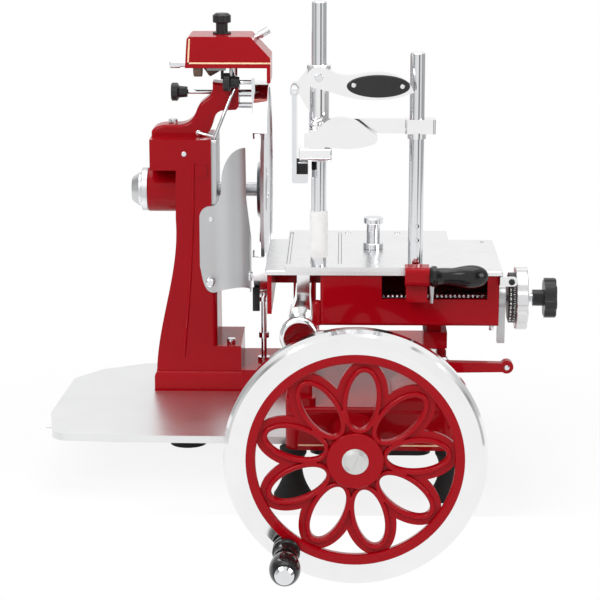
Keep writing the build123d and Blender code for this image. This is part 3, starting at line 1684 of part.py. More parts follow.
push_axis = along_y(push_hinge_x, push_hinge_z)
with BuildPart() as push_plate:
    block(
        (push_plate_left, column_y - push_plate_half_depth, push_plate_bottom),
        (push_plate_left + push_plate_thickness, column_y + push_plate_half_depth, push_plate_top),
    )
    fillet(push_plate.edges().filter_by(Axis.X).group_by(Axis.Z)[-1], radius=6.0)
    # foot block below the rubber
    block(
        (push_plate_left, column_y - push_plate_half_depth, push_plate_bottom),
        (foot_right, column_y + push_plate_half_depth, foot_block_top),
    )
    chamfer(push_plate.edges().filter_by(Axis.Y).group_by(Axis.Z)[0], length=2.0)
    # hinge knuckles either side of the eye
    block(
        (push_plate_left - 1.0, column_y - push_knuckle_start, push_hinge_z - push_knuckle_r - air),
        (push_plate_left + push_plate_thickness + 1.0, column_y + push_knuckle_start, push_plate_top + 1.0),
        mode=Mode.SUBTRACT,
    )
    rod(push_axis, column_y - push_knuckle_end, column_y - push_knuckle_start, push_knuckle_r)
    rod(push_axis, column_y + push_knuckle_start, column_y + push_knuckle_end, push_knuckle_r)
    rod(push_axis, column_y - 40.0, column_y + 40.0, push_pin_r + run, mode=Mode.SUBTRACT)
keep(push_plate, "push_plate")

with BuildPart() as press_rubber:
    block(
        (push_plate_left + push_plate_thickness, column_y - push_plate_half_depth + 3.0, foot_block_top),
        (foot_right - 1.0, column_y + push_plate_half_depth - 3.0, foot_rubber_top),
    )
keep(press_rubber, "press_rubber")

# ---- sharpener arm and sharpener ---------------------------------------------------------------------
with BuildPart() as sharpener_arm:
    with BuildSketch(front_view(blade_y - arm_depth / 2)) as arm:
        with BuildLine():
            Polyline((-140.0, head_top), (head_left, head_top), (head_left, head_top + 6.0))
            Spline(
                (head_left, head_top + 6.0),
                (-205.0, 455.0),
                (-196.0, 459.0),
                (-172.0, 460.0),
                (-158.0, 463.0),
                (-147.0, 474.0),
                (-140.0, 489.0),
                (arm_neck_left - 2.0, 505.0),
                (arm_neck_left, 511.0),
            )
            Polyline(
                (arm_neck_left, 511.0),
                (arm_neck_left, arm_top_left),
                (arm_right, arm_top_right),
                (arm_right, 486.0),
                (arm_right - 4.0, 482.0),
                (-107.0, 481.0),
            )
            Spline((-107.0, 481.0), (-117.0, 474.0), (-121.0, 462.0), (-127.0, 450.0), (-140.0, head_top))
        make_face()
    extrude(arm.sketch, amount=-arm_depth)
    side_edges = sharpener_arm.edges().filter_by(lambda e: abs(e.center().Y - blade_y) > arm_depth / 2 - 0.5)
    upper = side_edges.filter_by(lambda e: e.center().X < arm_neck_left + 20.0 and e.center().Z > head_top + 1.0)
    fillet(upper.filter_by(lambda e: e.center().X < -135.0 or e.center().Z > 510.0), radius=5.0)
    rod(along_z(turret_x, blade_y), turret_post_bottom - gap, arm_top_left + 10.0, turret_post_r + run, mode=Mode.SUBTRACT)
    rod(along_x(blade_y, clamp_z), arm_neck_left - 20.0, turret_x - turret_post_r, clamp_rod_r + run, mode=Mode.SUBTRACT)
keep(sharpener_arm, "sharpener_arm")

def black_knob(name, axis_y, axis_z, left, rod_end):
    """Round clamping knob on a rod along X, its cap on the left."""
    with BuildPart() as knob:
        turn(
            along_x(axis_y, axis_z),
            [
                (left, 0),
                (left, clamp_cap_r - 1.5),
                (left + 1.5, clamp_cap_r),
                (left + 9.0, clamp_cap_r),
                (left + 11.5, clamp_neck_r),
                (left + 23.0, clamp_neck_r - 1.0),
                (left + 23.0, clamp_rod_r),
                (rod_end, clamp_rod_r),
                (rod_end, 0),
            ],
        )
    keep(knob, name)


black_knob("sharpener_clamp_knob", blade_y, clamp_z, clamp_cap_left, turret_x - turret_post_r - gap)
black_knob("guard_knob", guard_knob_y, guard_knob_z, -105.0, guard_left - run)

with BuildPart() as sharpener_post:
    rod(along_z(turret_x, blade_y), turret_post_bottom, turret_post_top, turret_post_r)
keep(sharpener_post, "sharpener_post")

cover_middle_y = cover_front + cover_depth / 2
with BuildPart() as sharpener_cover:
    with BuildSketch(front_view(cover_front)) as outline:
        with BuildLine():
            Polyline(
                (cover_left, cover_bottom),
                (cover_left + 3.0, cover_top),
                (cover_slant_x, cover_top),
                (cover_right, cover_slant_z),
                (cover_right, cover_tail_bottom),
                (cover_right - cover_tail_width, cover_tail_bottom),
                (cover_right - cover_tail_width, cover_bottom),
                close=True,
            )
        make_face()
    extrude(outline.sketch, amount=-cover_depth)
    fillet(sharpener_cover.edges().filter_by(Axis.Y).group_by(Axis.Z)[-1], radius=5.0)
    with BuildSketch(front_view(cover_front + cover_wall)) as inside:
        with BuildLine():
            Polyline(
                (cover_left + cover_wall, cover_bottom - 1.0),
                (cover_left + 3.0 + cover_wall, cover_top - cover_wall),
                (cover_slant_x - cover_wall, cover_top - cover_wall),
                (cover_right - cover_wall, cover_slant_z - cover_wall),
                (cover_right - cover_wall, cover_bottom - 1.0),
                close=True,
            )
        make_face()
    extrude(inside.sketch, amount=-(cover_depth - 2 * cover_wall), mode=Mode.SUBTRACT)
    rod(along_z(top_knob_x, blade_y), cover_top - 10.0, cover_top + 1.0, top_screw_r + run, mode=Mode.SUBTRACT)
    rod(along_x(honer_y, honer_z), cover_left - 1.0, cover_left + 6.0, spindle_r + gap, mode=Mode.SUBTRACT)
    spindle_dir = Vector(cos(radians(wheel_tilt)), 0, sin(radians(wheel_tilt)))
    grinder_plane = Plane(origin=(grinder_x, grinder_y, grinder_z), x_dir=spindle_dir, z_dir=(0, -1, 0))
    rod(grinder_plane, 60.0, 120.0, button_r + gap, mode=Mode.SUBTRACT)
keep(sharpener_cover, "sharpener_cover")

with BuildPart() as stone_holder:
    # carrier under the cover: slides on the post and holds both spindles and the lift screw
    holder_right = turret_x + 14.0
    block((top_knob_x - 8.0, honer_y - 12.0, 566.0), (holder_right, grinder_y + 12.0, cover_top - cover_wall - run))
    block((turret_x - 12.0, blade_y - 12.0, cover_bottom + 2.0), (holder_right, blade_y + 12.0, 566.0))
    block((top_knob_x - 20.0, honer_y - 9.0, honer_z - 8.0), (turret_x - 10.0, honer_y + 9.0, cover_top - 14.0))
    rod(grinder_plane, 14.0, 34.0, 9.0)
    block((top_knob_x - 8.0, grinder_y - 8.0, 556.0), (turret_x, grinder_y + 8.0, 568.0))
    rod(along_z(turret_x, blade_y), cover_bottom, turret_post_top + 4.0, turret_post_r + run, mode=Mode.SUBTRACT)
    rod(along_z(top_knob_x, blade_y), cover_bottom - 10.0, cover_top, top_screw_r + run, mode=Mode.SUBTRACT)
    rod(along_x(honer_y, honer_z), honer_left - 5.0, holder_right + 1.0, spindle_r + run, mode=Mode.SUBTRACT)
    rod(grinder_plane, -5.0, 120.0, spindle_r + run, mode=Mode.SUBTRACT)
keep(stone_holder, "stone_holder")

with BuildPart() as grinding_stone:
    rod(grinder_plane, -grinder_width / 2, grinder_width / 2, grinder_r, spindle_r)
    chamfer(grinding_stone.edges().filter_by(GeomType.CIRCLE).group_by(SortBy.RADIUS)[-1], length=1.0)
keep(grinding_stone, "grinding_stone")

with BuildPart() as grinder_spindle:
    button_end = 99.0
    turn(
        grinder_plane,
        [
            (-grinder_width / 2 - 2.0, 0),
            (-grinder_width / 2 - 2.0, spindle_r - run),
            (button_end - button_length, spindle_r - run),
            (button_end - button_length, button_r),
            (button_end - 1.0, button_r),
            (button_end, button_r - 1.0),
            (button_end, 0),
        ],
    )
keep(grinder_spindle, "grinder_spindle")

with BuildPart() as deburring_stone:
    rod(along_x(honer_y, honer_z), honer_left, honer_left + honer_width, honer_r, spindle_r)
    chamfer(deburring_stone.edges().filter_by(GeomType.CIRCLE).group_by(SortBy.RADIUS)[-1], length=1.0)
keep(deburring_stone, "deburring_stone")

with BuildPart() as honer_spindle:
    turn(
        along_x(honer_y, honer_z),
        [
            (honer_shaft_end, 0),
            (honer_shaft_end, button_r - 1.0),
            (honer_shaft_end + 1.0, button_r),
            (cover_left - 8.0, button_r),
            (cover_left - 8.0, spindle_r - run),
            (turret_x - 14.0, spindle_r - run),
            (turret_x - 14.0, 0),
        ],
    )
keep(honer_spindle, "honer_spindle")

with BuildPart() as sharpener_top_knob:
    washer_z = cover_top + gap
    turn(
        along_z(top_knob_x, blade_y),
        [
            (top_screw_bottom, 0),
            (top_screw_bottom, top_screw_r),
            (washer_z, top_screw_r),
            (washer_z, top_knob_r),
            (washer_z + 2.0, top_knob_r),
            (washer_z + 3.0, top_knob_stem_r),
            (top_knob_z - 1.0, top_knob_stem_r),
            (top_knob_z, top_knob_r - 0.5),
            (top_knob_z + 1.0, top_knob_r),
            (top_knob_top - 3.0, top_knob_r),
            (top_knob_top, top_knob_r - 4.0),
            (top_knob_top, 0),
        ],
    )
keep(sharpener_top_knob, "sharpener_top_knob")
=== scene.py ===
from math import atan2, cos, pi, radians, sin

import bpy
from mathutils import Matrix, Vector


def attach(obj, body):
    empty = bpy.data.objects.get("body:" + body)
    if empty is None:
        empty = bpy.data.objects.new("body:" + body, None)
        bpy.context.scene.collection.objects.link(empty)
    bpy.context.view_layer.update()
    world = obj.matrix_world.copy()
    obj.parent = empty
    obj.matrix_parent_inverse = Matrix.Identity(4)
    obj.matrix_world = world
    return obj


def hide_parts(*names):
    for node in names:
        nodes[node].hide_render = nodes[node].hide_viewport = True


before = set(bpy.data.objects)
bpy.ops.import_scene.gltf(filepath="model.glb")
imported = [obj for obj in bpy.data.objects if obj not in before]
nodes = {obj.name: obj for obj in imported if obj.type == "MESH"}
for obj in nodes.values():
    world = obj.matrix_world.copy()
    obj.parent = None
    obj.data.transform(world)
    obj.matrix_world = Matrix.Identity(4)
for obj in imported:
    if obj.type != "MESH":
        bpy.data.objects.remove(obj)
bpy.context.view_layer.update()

print("frame loaded:", len(nodes), "nodes")


# one output of a node, so that shader maths reads as maths
class Wire:
    def __init__(self, bench, socket):
        self.bench = bench
        self.socket = socket

    def maths(self, operation, other=0.0, swap=False):
        first, second = (other, self) if swap else (self, other)
        return self.bench.add("ShaderNodeMath", {"operation": operation}, {0: first, 1: second})

    def __add__(self, other):
        return self.maths("ADD", other)

    def __rsub__(self, other):
        return self.maths("SUBTRACT", other, True)

    def __mul__(self, other):
        return self.maths("MULTIPLY", other)

    def __pow__(self, other):
        return self.maths("POWER", other)

    def __gt__(self, other):
        return self.maths("GREATER_THAN", other)

    def __lt__(self, other):
        return self.maths("LESS_THAN", other)

    __radd__ = __add__
    __rmul__ = __mul__


# a node tree, and the one way a node gets into it
class Bench:
    def __init__(self, tree):
        self.tree = tree

    def add(self, kind, settings=None, values=None, out=0):
        node = self.tree.nodes.new(kind)
        for key, value in (settings or {}).items():
            setattr(node, key, value)
        for key, value in (values or {}).items():
            if isinstance(value, Wire):
                self.tree.links.new(value.socket, node.inputs[key])
            else:
                node.inputs[key].default_value = value
        return Wire(self, node.outputs[out])

    def split(self, vector, axis):
        return self.add("ShaderNodeSeparateXYZ", {}, {0: vector}, out=axis)

    def rays(self, kind):
        return self.add("ShaderNodeLightPath", out=kind)

    def shades(self, stops, factor):
        # a grey ramp through stops of place and level
        made = self.add("ShaderNodeValToRGB", {}, {0: factor})
        ramp = made.socket.node.color_ramp.elements
        while len(ramp) < len(stops):
            ramp.new(0.5)
        for element, (place, shade) in zip(ramp, stops):
            element.position = place
            element.color = (shade, shade, shade, 1)
        return made


# one material with its principled shader
class Finish(Bench):
    def __init__(self, name, color, metallic=0.0, roughness=0.5, **sockets):
        self.material = bpy.data.materials.new(name)
        self.material.use_nodes = True
        super().__init__(self.material.node_tree)
        self.shader = self.tree.nodes["Principled BSDF"]
        self.shader.inputs["Base Color"].default_value = (*color, 1)
        self.shader.inputs["Metallic"].default_value = metallic
        self.shader.inputs["Roughness"].default_value = roughness
        for socket, value in sockets.items():
            self.shader.inputs[socket.replace("_", " ")].default_value = value

    def feed(self, socket, wire):
        self.tree.links.new(wire.socket, self.shader.inputs[socket])

    def place(self, shift=(0, 0, 0), scale=(1, 1, 1)):
        spot = self.add("ShaderNodeTexCoord", out="Object")
        return self.add("ShaderNodeMapping", {}, {"Vector": spot, "Location": shift, "Scale": scale})

    def noise(self, vector, size, detail=3.0, rough=0.5):
        return self.add("ShaderNodeTexNoise", {}, {"Vector": vector, "Scale": size, "Detail": detail,
                                                   "Roughness": rough})

    def blend(self, factor, first, second):
        return self.add("ShaderNodeMix", {"data_type": "RGBA"},
                        {0: factor, 6: (*first, 1), 7: (*second, 1)}, out=2)

    def bump(self, height, strength, distance):
        normal = self.add("ShaderNodeBump", {}, {"Height": height, "Strength": strength, "Distance": distance})
        self.feed("Normal", normal)


enamelLook = {"rough": 0.16, "coat": 0.22, "coatRough": 0.05, "specular": 0.06, "cloud": 9.0, "haze": 60.0,
              "hazeRough": 0.12, "peel": 260.0, "peelBump": 0.05, "peelDeep": 0.0004}


def enamel(name, deep, bright):
    look = enamelLook
    made = Finish(name, bright, 0.0, look["rough"], Coat_Weight=look["coat"], Coat_Roughness=look["coatRough"],
                  Specular_IOR_Level=look["specular"])
    spot = made.place()
    made.feed("Base Color", made.blend(made.noise(spot, look["cloud"], 4.0), deep, bright))
    made.feed("Roughness", made.noise(spot, look["haze"]) * look["hazeRough"] + look["rough"])
    made.bump(made.noise(spot, look["peel"], 1.0), look["peelBump"], look["peelDeep"])  # faint orange peel
    return made.material


steelLook = {"patch": 14.0, "patchShare": 0.6, "patchRough": 0.05, "dim": 0.86, "bump": 0.25}


def steel(name, color, rough, streak=(1, 1, 1), grain=60.0, depth=0.00006, spread=0.12):
    look = steelLook
    made = Finish(name, color, 1.0, rough)
    fine = made.noise(made.place(scale=streak), grain, 4.0, 0.6)
    wide = made.noise(made.place(), look["patch"], 2.0)
    darker = tuple(c * look["dim"] for c in color)
    cloud = wide * look["patchShare"] + fine * (1 - look["patchShare"])
    made.feed("Base Color", made.blend(cloud, darker, color))
    made.feed("Roughness", fine * spread + wide * look["patchRough"] + rough)
    made.bump(fine, look["bump"], depth)
    return made.material


turnedLook = {"rings": 2600.0, "patch": 18.0, "share": 0.5, "ringRough": 0.14, "patchRough": 0.06, "dim": 0.8,
              "bump": 0.3, "deep": 0.00005}


def turnedSteel(name, color, rough, centre, axis, rings=turnedLook["rings"]):
    # fine rings round an axis, as a lathe or a grinder leaves them
    look = turnedLook
    made = Finish(name, color, 1.0, rough)
    spot = made.place(shift=tuple(-c for c in centre))
    first, second = (made.split(spot, k) for k in range(3) if k != axis)
    radius = (first * first + second * second) ** 0.5
    line = made.add("ShaderNodeTexNoise", {"noise_dimensions": "1D"},
                    {"W": radius, "Scale": rings, "Detail": 2.0})
    patch = made.noise(spot, look["patch"], 3.0)
    darker = tuple(c * look["dim"] for c in color)
    made.feed("Base Color", made.blend(line * look["share"] + patch * look["share"], darker, color))
    made.feed("Roughness", line * look["ringRough"] + patch * look["patchRough"] + rough)
    made.bump(line, look["bump"], look["deep"])
    return made.material


plasticLook = {"coatRough": 0.08, "dust": 40.0, "dustRough": 0.12, "lighten": 1.6, "lift": 0.004, "bump": 0.2}


def plastic(name, color, rough, coat=0.0, grain=900.0, depth=0.00005, sheen=0.5):
    look = plasticLook
    made = Finish(name, color, 0.0, rough, Coat_Weight=coat, Coat_Roughness=look["coatRough"],
                  Specular_IOR_Level=sheen)
    spot = made.place()
    dust = made.noise(spot, look["dust"], 5.0)
    lighter = tuple(c * look["lighten"] + look["lift"] for c in color)
    made.feed("Base Color", made.blend(dust, color, lighter))
    made.feed("Roughness", dust * look["dustRough"] + rough)
    made.bump(made.noise(spot, grain, 2.0), look["bump"], depth)
    return made.material


stoneLook = {"rough": 0.85, "grit": 900.0, "gritRough": 0.8, "bump": 0.9, "deep": 0.0005}


def abrasive(name, dark, light):
    look = stoneLook
    made = Finish(name, dark, 0.0, look["rough"])
    grit = made.noise(made.place(), look["grit"], 4.0, look["gritRough"])
    made.feed("Base Color", made.blend(grit, dark, light))
    made.bump(grit, look["bump"], look["deep"])
    return made.material


# the axes that turned finishes and rings of screws go round, in metres
bladeAxis = (0, 0.3, 0.364)
dialAxis = (0, 0.084, 0.256)
wheelAxis = (0.082, 0, 0.088)

shine = {
    "red": enamel("redEnamel", (0.36, 0.0012, 0.006), (0.42, 0.0016, 0.008)),
    "polished": steel("polishedSteel", (0.93, 0.93, 0.935), 0.05, (1, 1, 1), 30.0, 0.00002, 0.05),
    "chrome": steel("brightChrome", (0.8, 0.81, 0.83), 0.05, (1, 1, 1), 40.0, 0.00001, 0.04),
    "satin": steel("satinAluminium", (0.9, 0.9, 0.905), 0.2, (1, 14, 14), 60.0, 0.00002, 0.1),
    "tray": steel("trayAluminium", (0.88, 0.885, 0.89), 0.28, (1, 10, 1), 50.0, 0.00002, 0.1),
    "blade": turnedSteel("groundBladeSteel", (0.66, 0.68, 0.7), 0.2, bladeAxis, 0),
    "gear": steel("oiledGearSteel", (0.3, 0.31, 0.32), 0.32, (1, 1, 1), 120.0, 0.00008, 0.2),
    "groove": steel("grooveShade", (0.3, 0.3, 0.3), 0.4, (1, 1, 1), 60.0, 0.00002, 0.05),
    "grey": steel("brushedSheet", (0.6, 0.61, 0.62), 0.3, (12, 12, 1), 60.0, 0.00003, 0.12),
    "wheelScrew": turnedSteel("turnedScrewHead", (0.74, 0.74, 0.73), 0.24, wheelAxis, 1, 1800.0),
    "cap": turnedSteel("turnedCap", (0.7, 0.71, 0.72), 0.22, bladeAxis, 0, 1500.0),
    "dialSteel": turnedSteel("turnedDialWheel", (0.82, 0.82, 0.83), 0.25, dialAxis, 0, 1500.0),
    "black": plastic("blackKnobPlastic", (0.014, 0.014, 0.015), 0.3, 0.1, sheen=0.3),
    "gloss": plastic("glossBlackHandle", (0.006, 0.006, 0.007), 0.1, 0.45, 500.0, 0.00001, 0.15),
    "paint": plastic("blackPaint", (0.014, 0.014, 0.016), 0.45, 0.05, sheen=0.25),
    "rubber": plastic("blackRubber", (0.014, 0.014, 0.014), 0.7, 0.0, 1200.0, 0.0002, 0.2),
    "white": plastic("whiteSleevePlastic", (0.78, 0.78, 0.77), 0.4, 0.2),
    "stone": abrasive("brownAbrasive", (0.09, 0.055, 0.04), (0.3, 0.2, 0.15)),
    "cream": plastic("creamPinstripe", (0.86, 0.6, 0.38), 0.4, 0.5),
    "ink": plastic("whiteDialInk", (0.85, 0.85, 0.84), 0.5),
}
print("finishes made:", len(shine))

nodeShine = {
    "base_casting": "red", "base_pan": "paint", "rubber_feet": "rubber", "blade_column": "red",
    "housing_flange": "grey", "shaft_bearings": "gear", "bearing_cap": "cap", "sharpener_arm": "red",
    "slice_tray": "tray", "carriage_rail": "polished", "guide_rail": "polished", "trip_arm": "red",
    "slice_deflector": "grey", "blade_guard_ring": "polished", "guard_brackets": "chrome",
    "drive_chain": "gear", "flywheel": "red", "flywheel_rim": "polished", "hub_screw": "wheelScrew",
    "flywheel_shaft": "gear", "bevel_gear": "gear", "crank_pin": "chrome", "crank_grip": "gloss",
    "cross_shaft": "gear", "bevel_pinion": "gear", "drive_sprocket": "gear", "blade": "blade",
    "blade_shaft": "blade", "blade_sprocket": "gear", "carriage_sleeve": "polished",
    "carriage_housing": "red", "carriage_plate": "satin", "index_bracket": "satin", "feed_screw": "gear",
    "feed_knob": "black", "thickness_dial": "black", "scalloped_wheel": "dialSteel", "trip_lever": "grey",
    "meat_table": "satin", "table_columns": "chrome", "column_sleeve": "white", "table_knob": "chrome",
    "release_lever": "red", "release_grip": "gloss", "press_slider": "polished", "press_lever": "polished",
    "lever_grip": "black", "push_plate": "chrome", "press_rubber": "rubber", "sharpener_post": "chrome",
    "sharpener_cover": "red", "stone_holder": "gear", "grinding_stone": "stone", "grinder_spindle": "chrome",
    "deburring_stone": "stone", "honer_spindle": "chrome", "sharpener_top_knob": "black",
    "sharpener_clamp_knob": "black", "guard_knob": "black", "deflector_knob": "chrome",
}
for name, node in nodes.items():
    node.data.materials.clear()
    node.data.materials.append(shine[nodeShine[name]])
print("nodes dressed:", len(nodeShine))


def mm(*values):
    return tuple(value / 1000 for value in values)


def dropChoice():
    bpy.ops.object.select_all(action="DESELECT")


def pickFaces(piece, test):
    # choose faces by their centre and normal in the piece's own space, then enter edit mode
    for edge in piece.data.edges:
        edge.select = False
    for vertex in piece.data.vertices:
        vertex.select = False
    for face in piece.data.polygons:
        face.select = bool(test(face.center, face.normal))
    bpy.ops.object.mode_set(mode="EDIT")
    bpy.ops.mesh.select_mode(type="FACE")


def leaveEdit():
    bpy.ops.object.mode_set(mode="OBJECT")


def drum(name, centre, along, radius, depth, sides=48, tip=None):
    # a round primitive at its size and place, its own z along the given direction
    dropChoice()
    turn = Vector(along).to_track_quat("Z", "Y").to_euler()
    if tip is None:
        bpy.ops.mesh.primitive_cylinder_add(vertices=sides, radius=radius, depth=depth,
                                            location=centre, rotation=turn)
    else:
        bpy.ops.mesh.primitive_cone_add(vertices=sides, radius1=radius, radius2=tip, depth=depth,
                                        location=centre, rotation=turn)
    piece = bpy.context.object
    piece.name = name
    return piece


def crate(name, centre, size, turn=(0, 0, 0)):
    dropChoice()
    bpy.ops.mesh.primitive_cube_add(size=1, location=centre, rotation=turn)
    piece = bpy.context.object
    piece.name = name
    piece.scale = size
    bpy.ops.object.transform_apply(location=False, rotation=False, scale=True)
    return piece


def soften(piece, width, segments=3, angle=40):
    dropChoice()
    piece.select_set(True)
    bpy.context.view_layer.objects.active = piece
    edge = piece.modifiers.new("softEdge", "BEVEL")
    edge.width = width
    edge.segments = segments
    edge.limit_method = "ANGLE"
    edge.angle_limit = radians(angle)
    bpy.ops.object.modifier_apply(modifier=edge.name)


def settle(piece, body, finish, smooth=35):
    # place goes into the mesh, then the piece gets its finish and its body
    dropChoice()
    piece.select_set(True)
    bpy.context.view_layer.objects.active = piece
    bpy.ops.object.transform_apply(location=True, rotation=True, scale=True)
    if smooth:
        bpy.ops.object.shade_smooth_by_angle(angle=radians(smooth))
    piece.data.materials.clear()
    piece.data.materials.append(shine[finish])
    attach(piece, body)
    return piece


# shares of a screw head's height and radius
headLook = {"dome": 0.3, "hexRim": 0.42, "slotRim": 0.5, "slot": (2.0, 0.24, 1.0), "sunk": 0.4, "sides": 36,
            "crease": 0.00002}


def slotted(name, centre, along, radius, height, body, finish="chrome", kind="line"):
    # a round screw head: domed, with a slot or a round socket sunk into it
    piece = drum(name, centre, along, radius, height, headLook["sides"])
    pickFaces(piece, lambda c, n: n.z > 0.9)
    bpy.ops.mesh.bevel(offset=height * headLook["dome"], segments=3, affect="EDGES")
    leaveEdit()
    top = height / 2
    pickFaces(piece, lambda c, n: n.z > 0.99 and c.z > top * 0.99)
    bpy.ops.mesh.inset(thickness=radius * headLook["hexRim" if kind == "hex" else "slotRim"], depth=0)
    if kind == "line":
        bpy.ops.transform.resize(value=headLook["slot"], orient_type="LOCAL", center_override=Vector(centre))
    bpy.ops.mesh.inset(thickness=headLook["crease"], depth=-height * headLook["sunk"])
    leaveEdit()
    return settle(piece, body, finish, 30)


# shares of a hexagon head's width and height, and its width over its corner radius
hexLook = {"rim": 0.06, "rise": 0.12, "edge": 0.06, "corner": 1.732}


def hexHead(name, centre, across, height):
    piece = drum(name, centre, (0, 0, 1), across / hexLook["corner"], height, 6)
    pickFaces(piece, lambda c, n: n.z > 0.9)
    bpy.ops.mesh.inset(thickness=across * hexLook["rim"], depth=height * hexLook["rise"])
    leaveEdit()
    soften(piece, height * hexLook["edge"], 2)
    return settle(piece, "machine", "chrome", 30)


def bar(name, start, end, radius, body, finish="chrome", sides=24, ends=0.25):
    # a round rod between two points, its ends rounded by a share of its radius
    start, end = Vector(start), Vector(end)
    piece = drum(name, (start + end) / 2, end - start, radius, (end - start).length, sides)
    pickFaces(piece, lambda c, n: abs(n.z) > 0.9)
    bpy.ops.mesh.bevel(offset=radius * ends, segments=2, affect="EDGES")
    leaveEdit()
    return settle(piece, body, finish, 40)


# feed screw with a real thread
screwLook = {"y": 84, "z": 256, "left": 96, "right": 286, "root": 6.6, "crest": 8.0, "pitch": 6.0,
             "tail": 6.0, "tailRoot": 5.3, "tailStart": 313, "tailEnd": 334, "tailPitch": 2.0,
             "flank": 0.92, "sunk": 0.6, "runIn": 0.9, "endRound": 0.6, "sides": 40, "steps": 28}


def onScrew(x):
    return mm(x, screwLook["y"], screwLook["z"])


def threaded(name, left, right, root, crest, pitch):
    # a rod with a helical ridge: a triangle swept by the screw modifier, laid along x
    look = screwLook
    rod = drum(name, onScrew((left + right) / 2), (1, 0, 0), root / 1000, (right - left) / 1000, look["sides"])
    pickFaces(rod, lambda c, n: abs(n.z) > 0.9)
    bpy.ops.mesh.bevel(offset=look["endRound"] / 1000, segments=2, affect="EDGES")
    leaveEdit()
    dropChoice()
    bpy.ops.mesh.primitive_circle_add(vertices=4, radius=pitch / 2000 * look["flank"], location=(0, 0, 0),
                                      fill_type="NOTHING")
    ridge = bpy.context.object
    inside = root - look["sunk"]
    tall = (crest - inside) / (pitch * look["flank"] / 2)
    for vertex in ridge.data.vertices:
        x, y = vertex.co.x, vertex.co.y
        vertex.co = (inside / 1000 + max(0.0, x) * tall, 0, y)
    sweep = ridge.modifiers.new("thread", "SCREW")
    sweep.axis = "Z"
    sweep.screw_offset = pitch / 1000
    sweep.iterations = int((right - left) / pitch) - 1
    sweep.steps = sweep.render_steps = look["steps"]
    sweep.use_merge_vertices = False
    bpy.ops.object.modifier_apply(modifier=sweep.name)
    ridge.location = onScrew(left + pitch * look["runIn"])
    ridge.rotation_euler = (0, pi / 2, 0)
    dropChoice()
    ridge.select_set(True)
    bpy.context.view_layer.objects.active = ridge
    bpy.ops.object.transform_apply(location=True, rotation=True, scale=True)
    bpy.ops.object.mode_set(mode="EDIT")
    bpy.ops.mesh.select_all(action="SELECT")
    bpy.ops.mesh.normals_make_consistent(inside=False)
    leaveEdit()
    settle(rod, "feed_drive", "chrome")
    rod.select_set(True)
    ridge.select_set(True)
    bpy.context.view_layer.objects.active = rod
    bpy.ops.object.join()
    return settle(rod, "feed_drive", "chrome", 40)


feedThread = threaded("feedScrewThread", screwLook["left"], screwLook["right"], screwLook["root"],
                      screwLook["crest"], screwLook["pitch"])
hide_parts("feed_screw")
bar("feedScrewTail", onScrew(screwLook["right"]), onScrew(screwLook["tailStart"]), screwLook["tail"] / 1000,
    "feed_drive")
threaded("feedScrewTailThread", screwLook["tailStart"], screwLook["tailEnd"], screwLook["tailRoot"],
         screwLook["tail"], screwLook["tailPitch"])
print("feed screw threaded")

# dial numbers
dialLook = {"x": 292.0, "y": 84.0, "z": 256.0, "radius": 34.05, "first": 29.9, "step": 10.2, "count": 9,
            "height": 5.4, "bold": 0.09, "thick": 0.1, "left": 2.4, "tickRight": 3.9, "tickLong": 2.6,
            "tickShort": 1.5, "tickWide": 0.8, "tickThick": 0.25, "ticks": 30}


def onDial(angle, radius, shift):
    # a spot on the dial's rim: angle 0 faces the near side, positive is higher
    return mm(dialLook["x"] + shift, dialLook["y"] - radius * cos(radians(angle)),
              dialLook["z"] + radius * sin(radians(angle)))


for count in range(dialLook["count"]):
    dropChoice()
    angle = dialLook["first"] - dialLook["step"] * count
    bpy.ops.object.text_add(location=(0, 0, 0))
    digit = bpy.context.object
    digit.data.body = str(count + 1)
    digit.data.size = dialLook["height"] / 1000
    digit.data.align_x = "CENTER"
    digit.data.align_y = "CENTER"
    digit.data.extrude = dialLook["thick"] / 1000
    digit.data.offset = dialLook["bold"] / 1000
    bpy.ops.object.convert(target="MESH")
    digit = bpy.context.object
    digit.name = "dialNumber_" + str(count + 1)
    digit.location = onDial(angle, dialLook["radius"], -dialLook["left"])
    digit.rotation_euler = (radians(90 - angle), 0, 0)
    settle(digit, "thickness_setting", "ink", 0)
for count in range(dialLook["ticks"]):
    # a long tick at each number, a short one between two
    angle = dialLook["first"] - dialLook["step"] * (count - 1) / 2
    tickLong = dialLook["tickLong"] if count % 2 else dialLook["tickShort"]
    spot = onDial(angle, dialLook["radius"], dialLook["tickRight"] - tickLong / 2)
    tick = crate("dialTick_" + str(count), spot, mm(tickLong, dialLook["tickWide"], dialLook["tickThick"]))
    tick.rotation_euler = (radians(90 - angle), 0, 0)
    settle(tick, "thickness_setting", "ink", 0)
print("dial numbered")

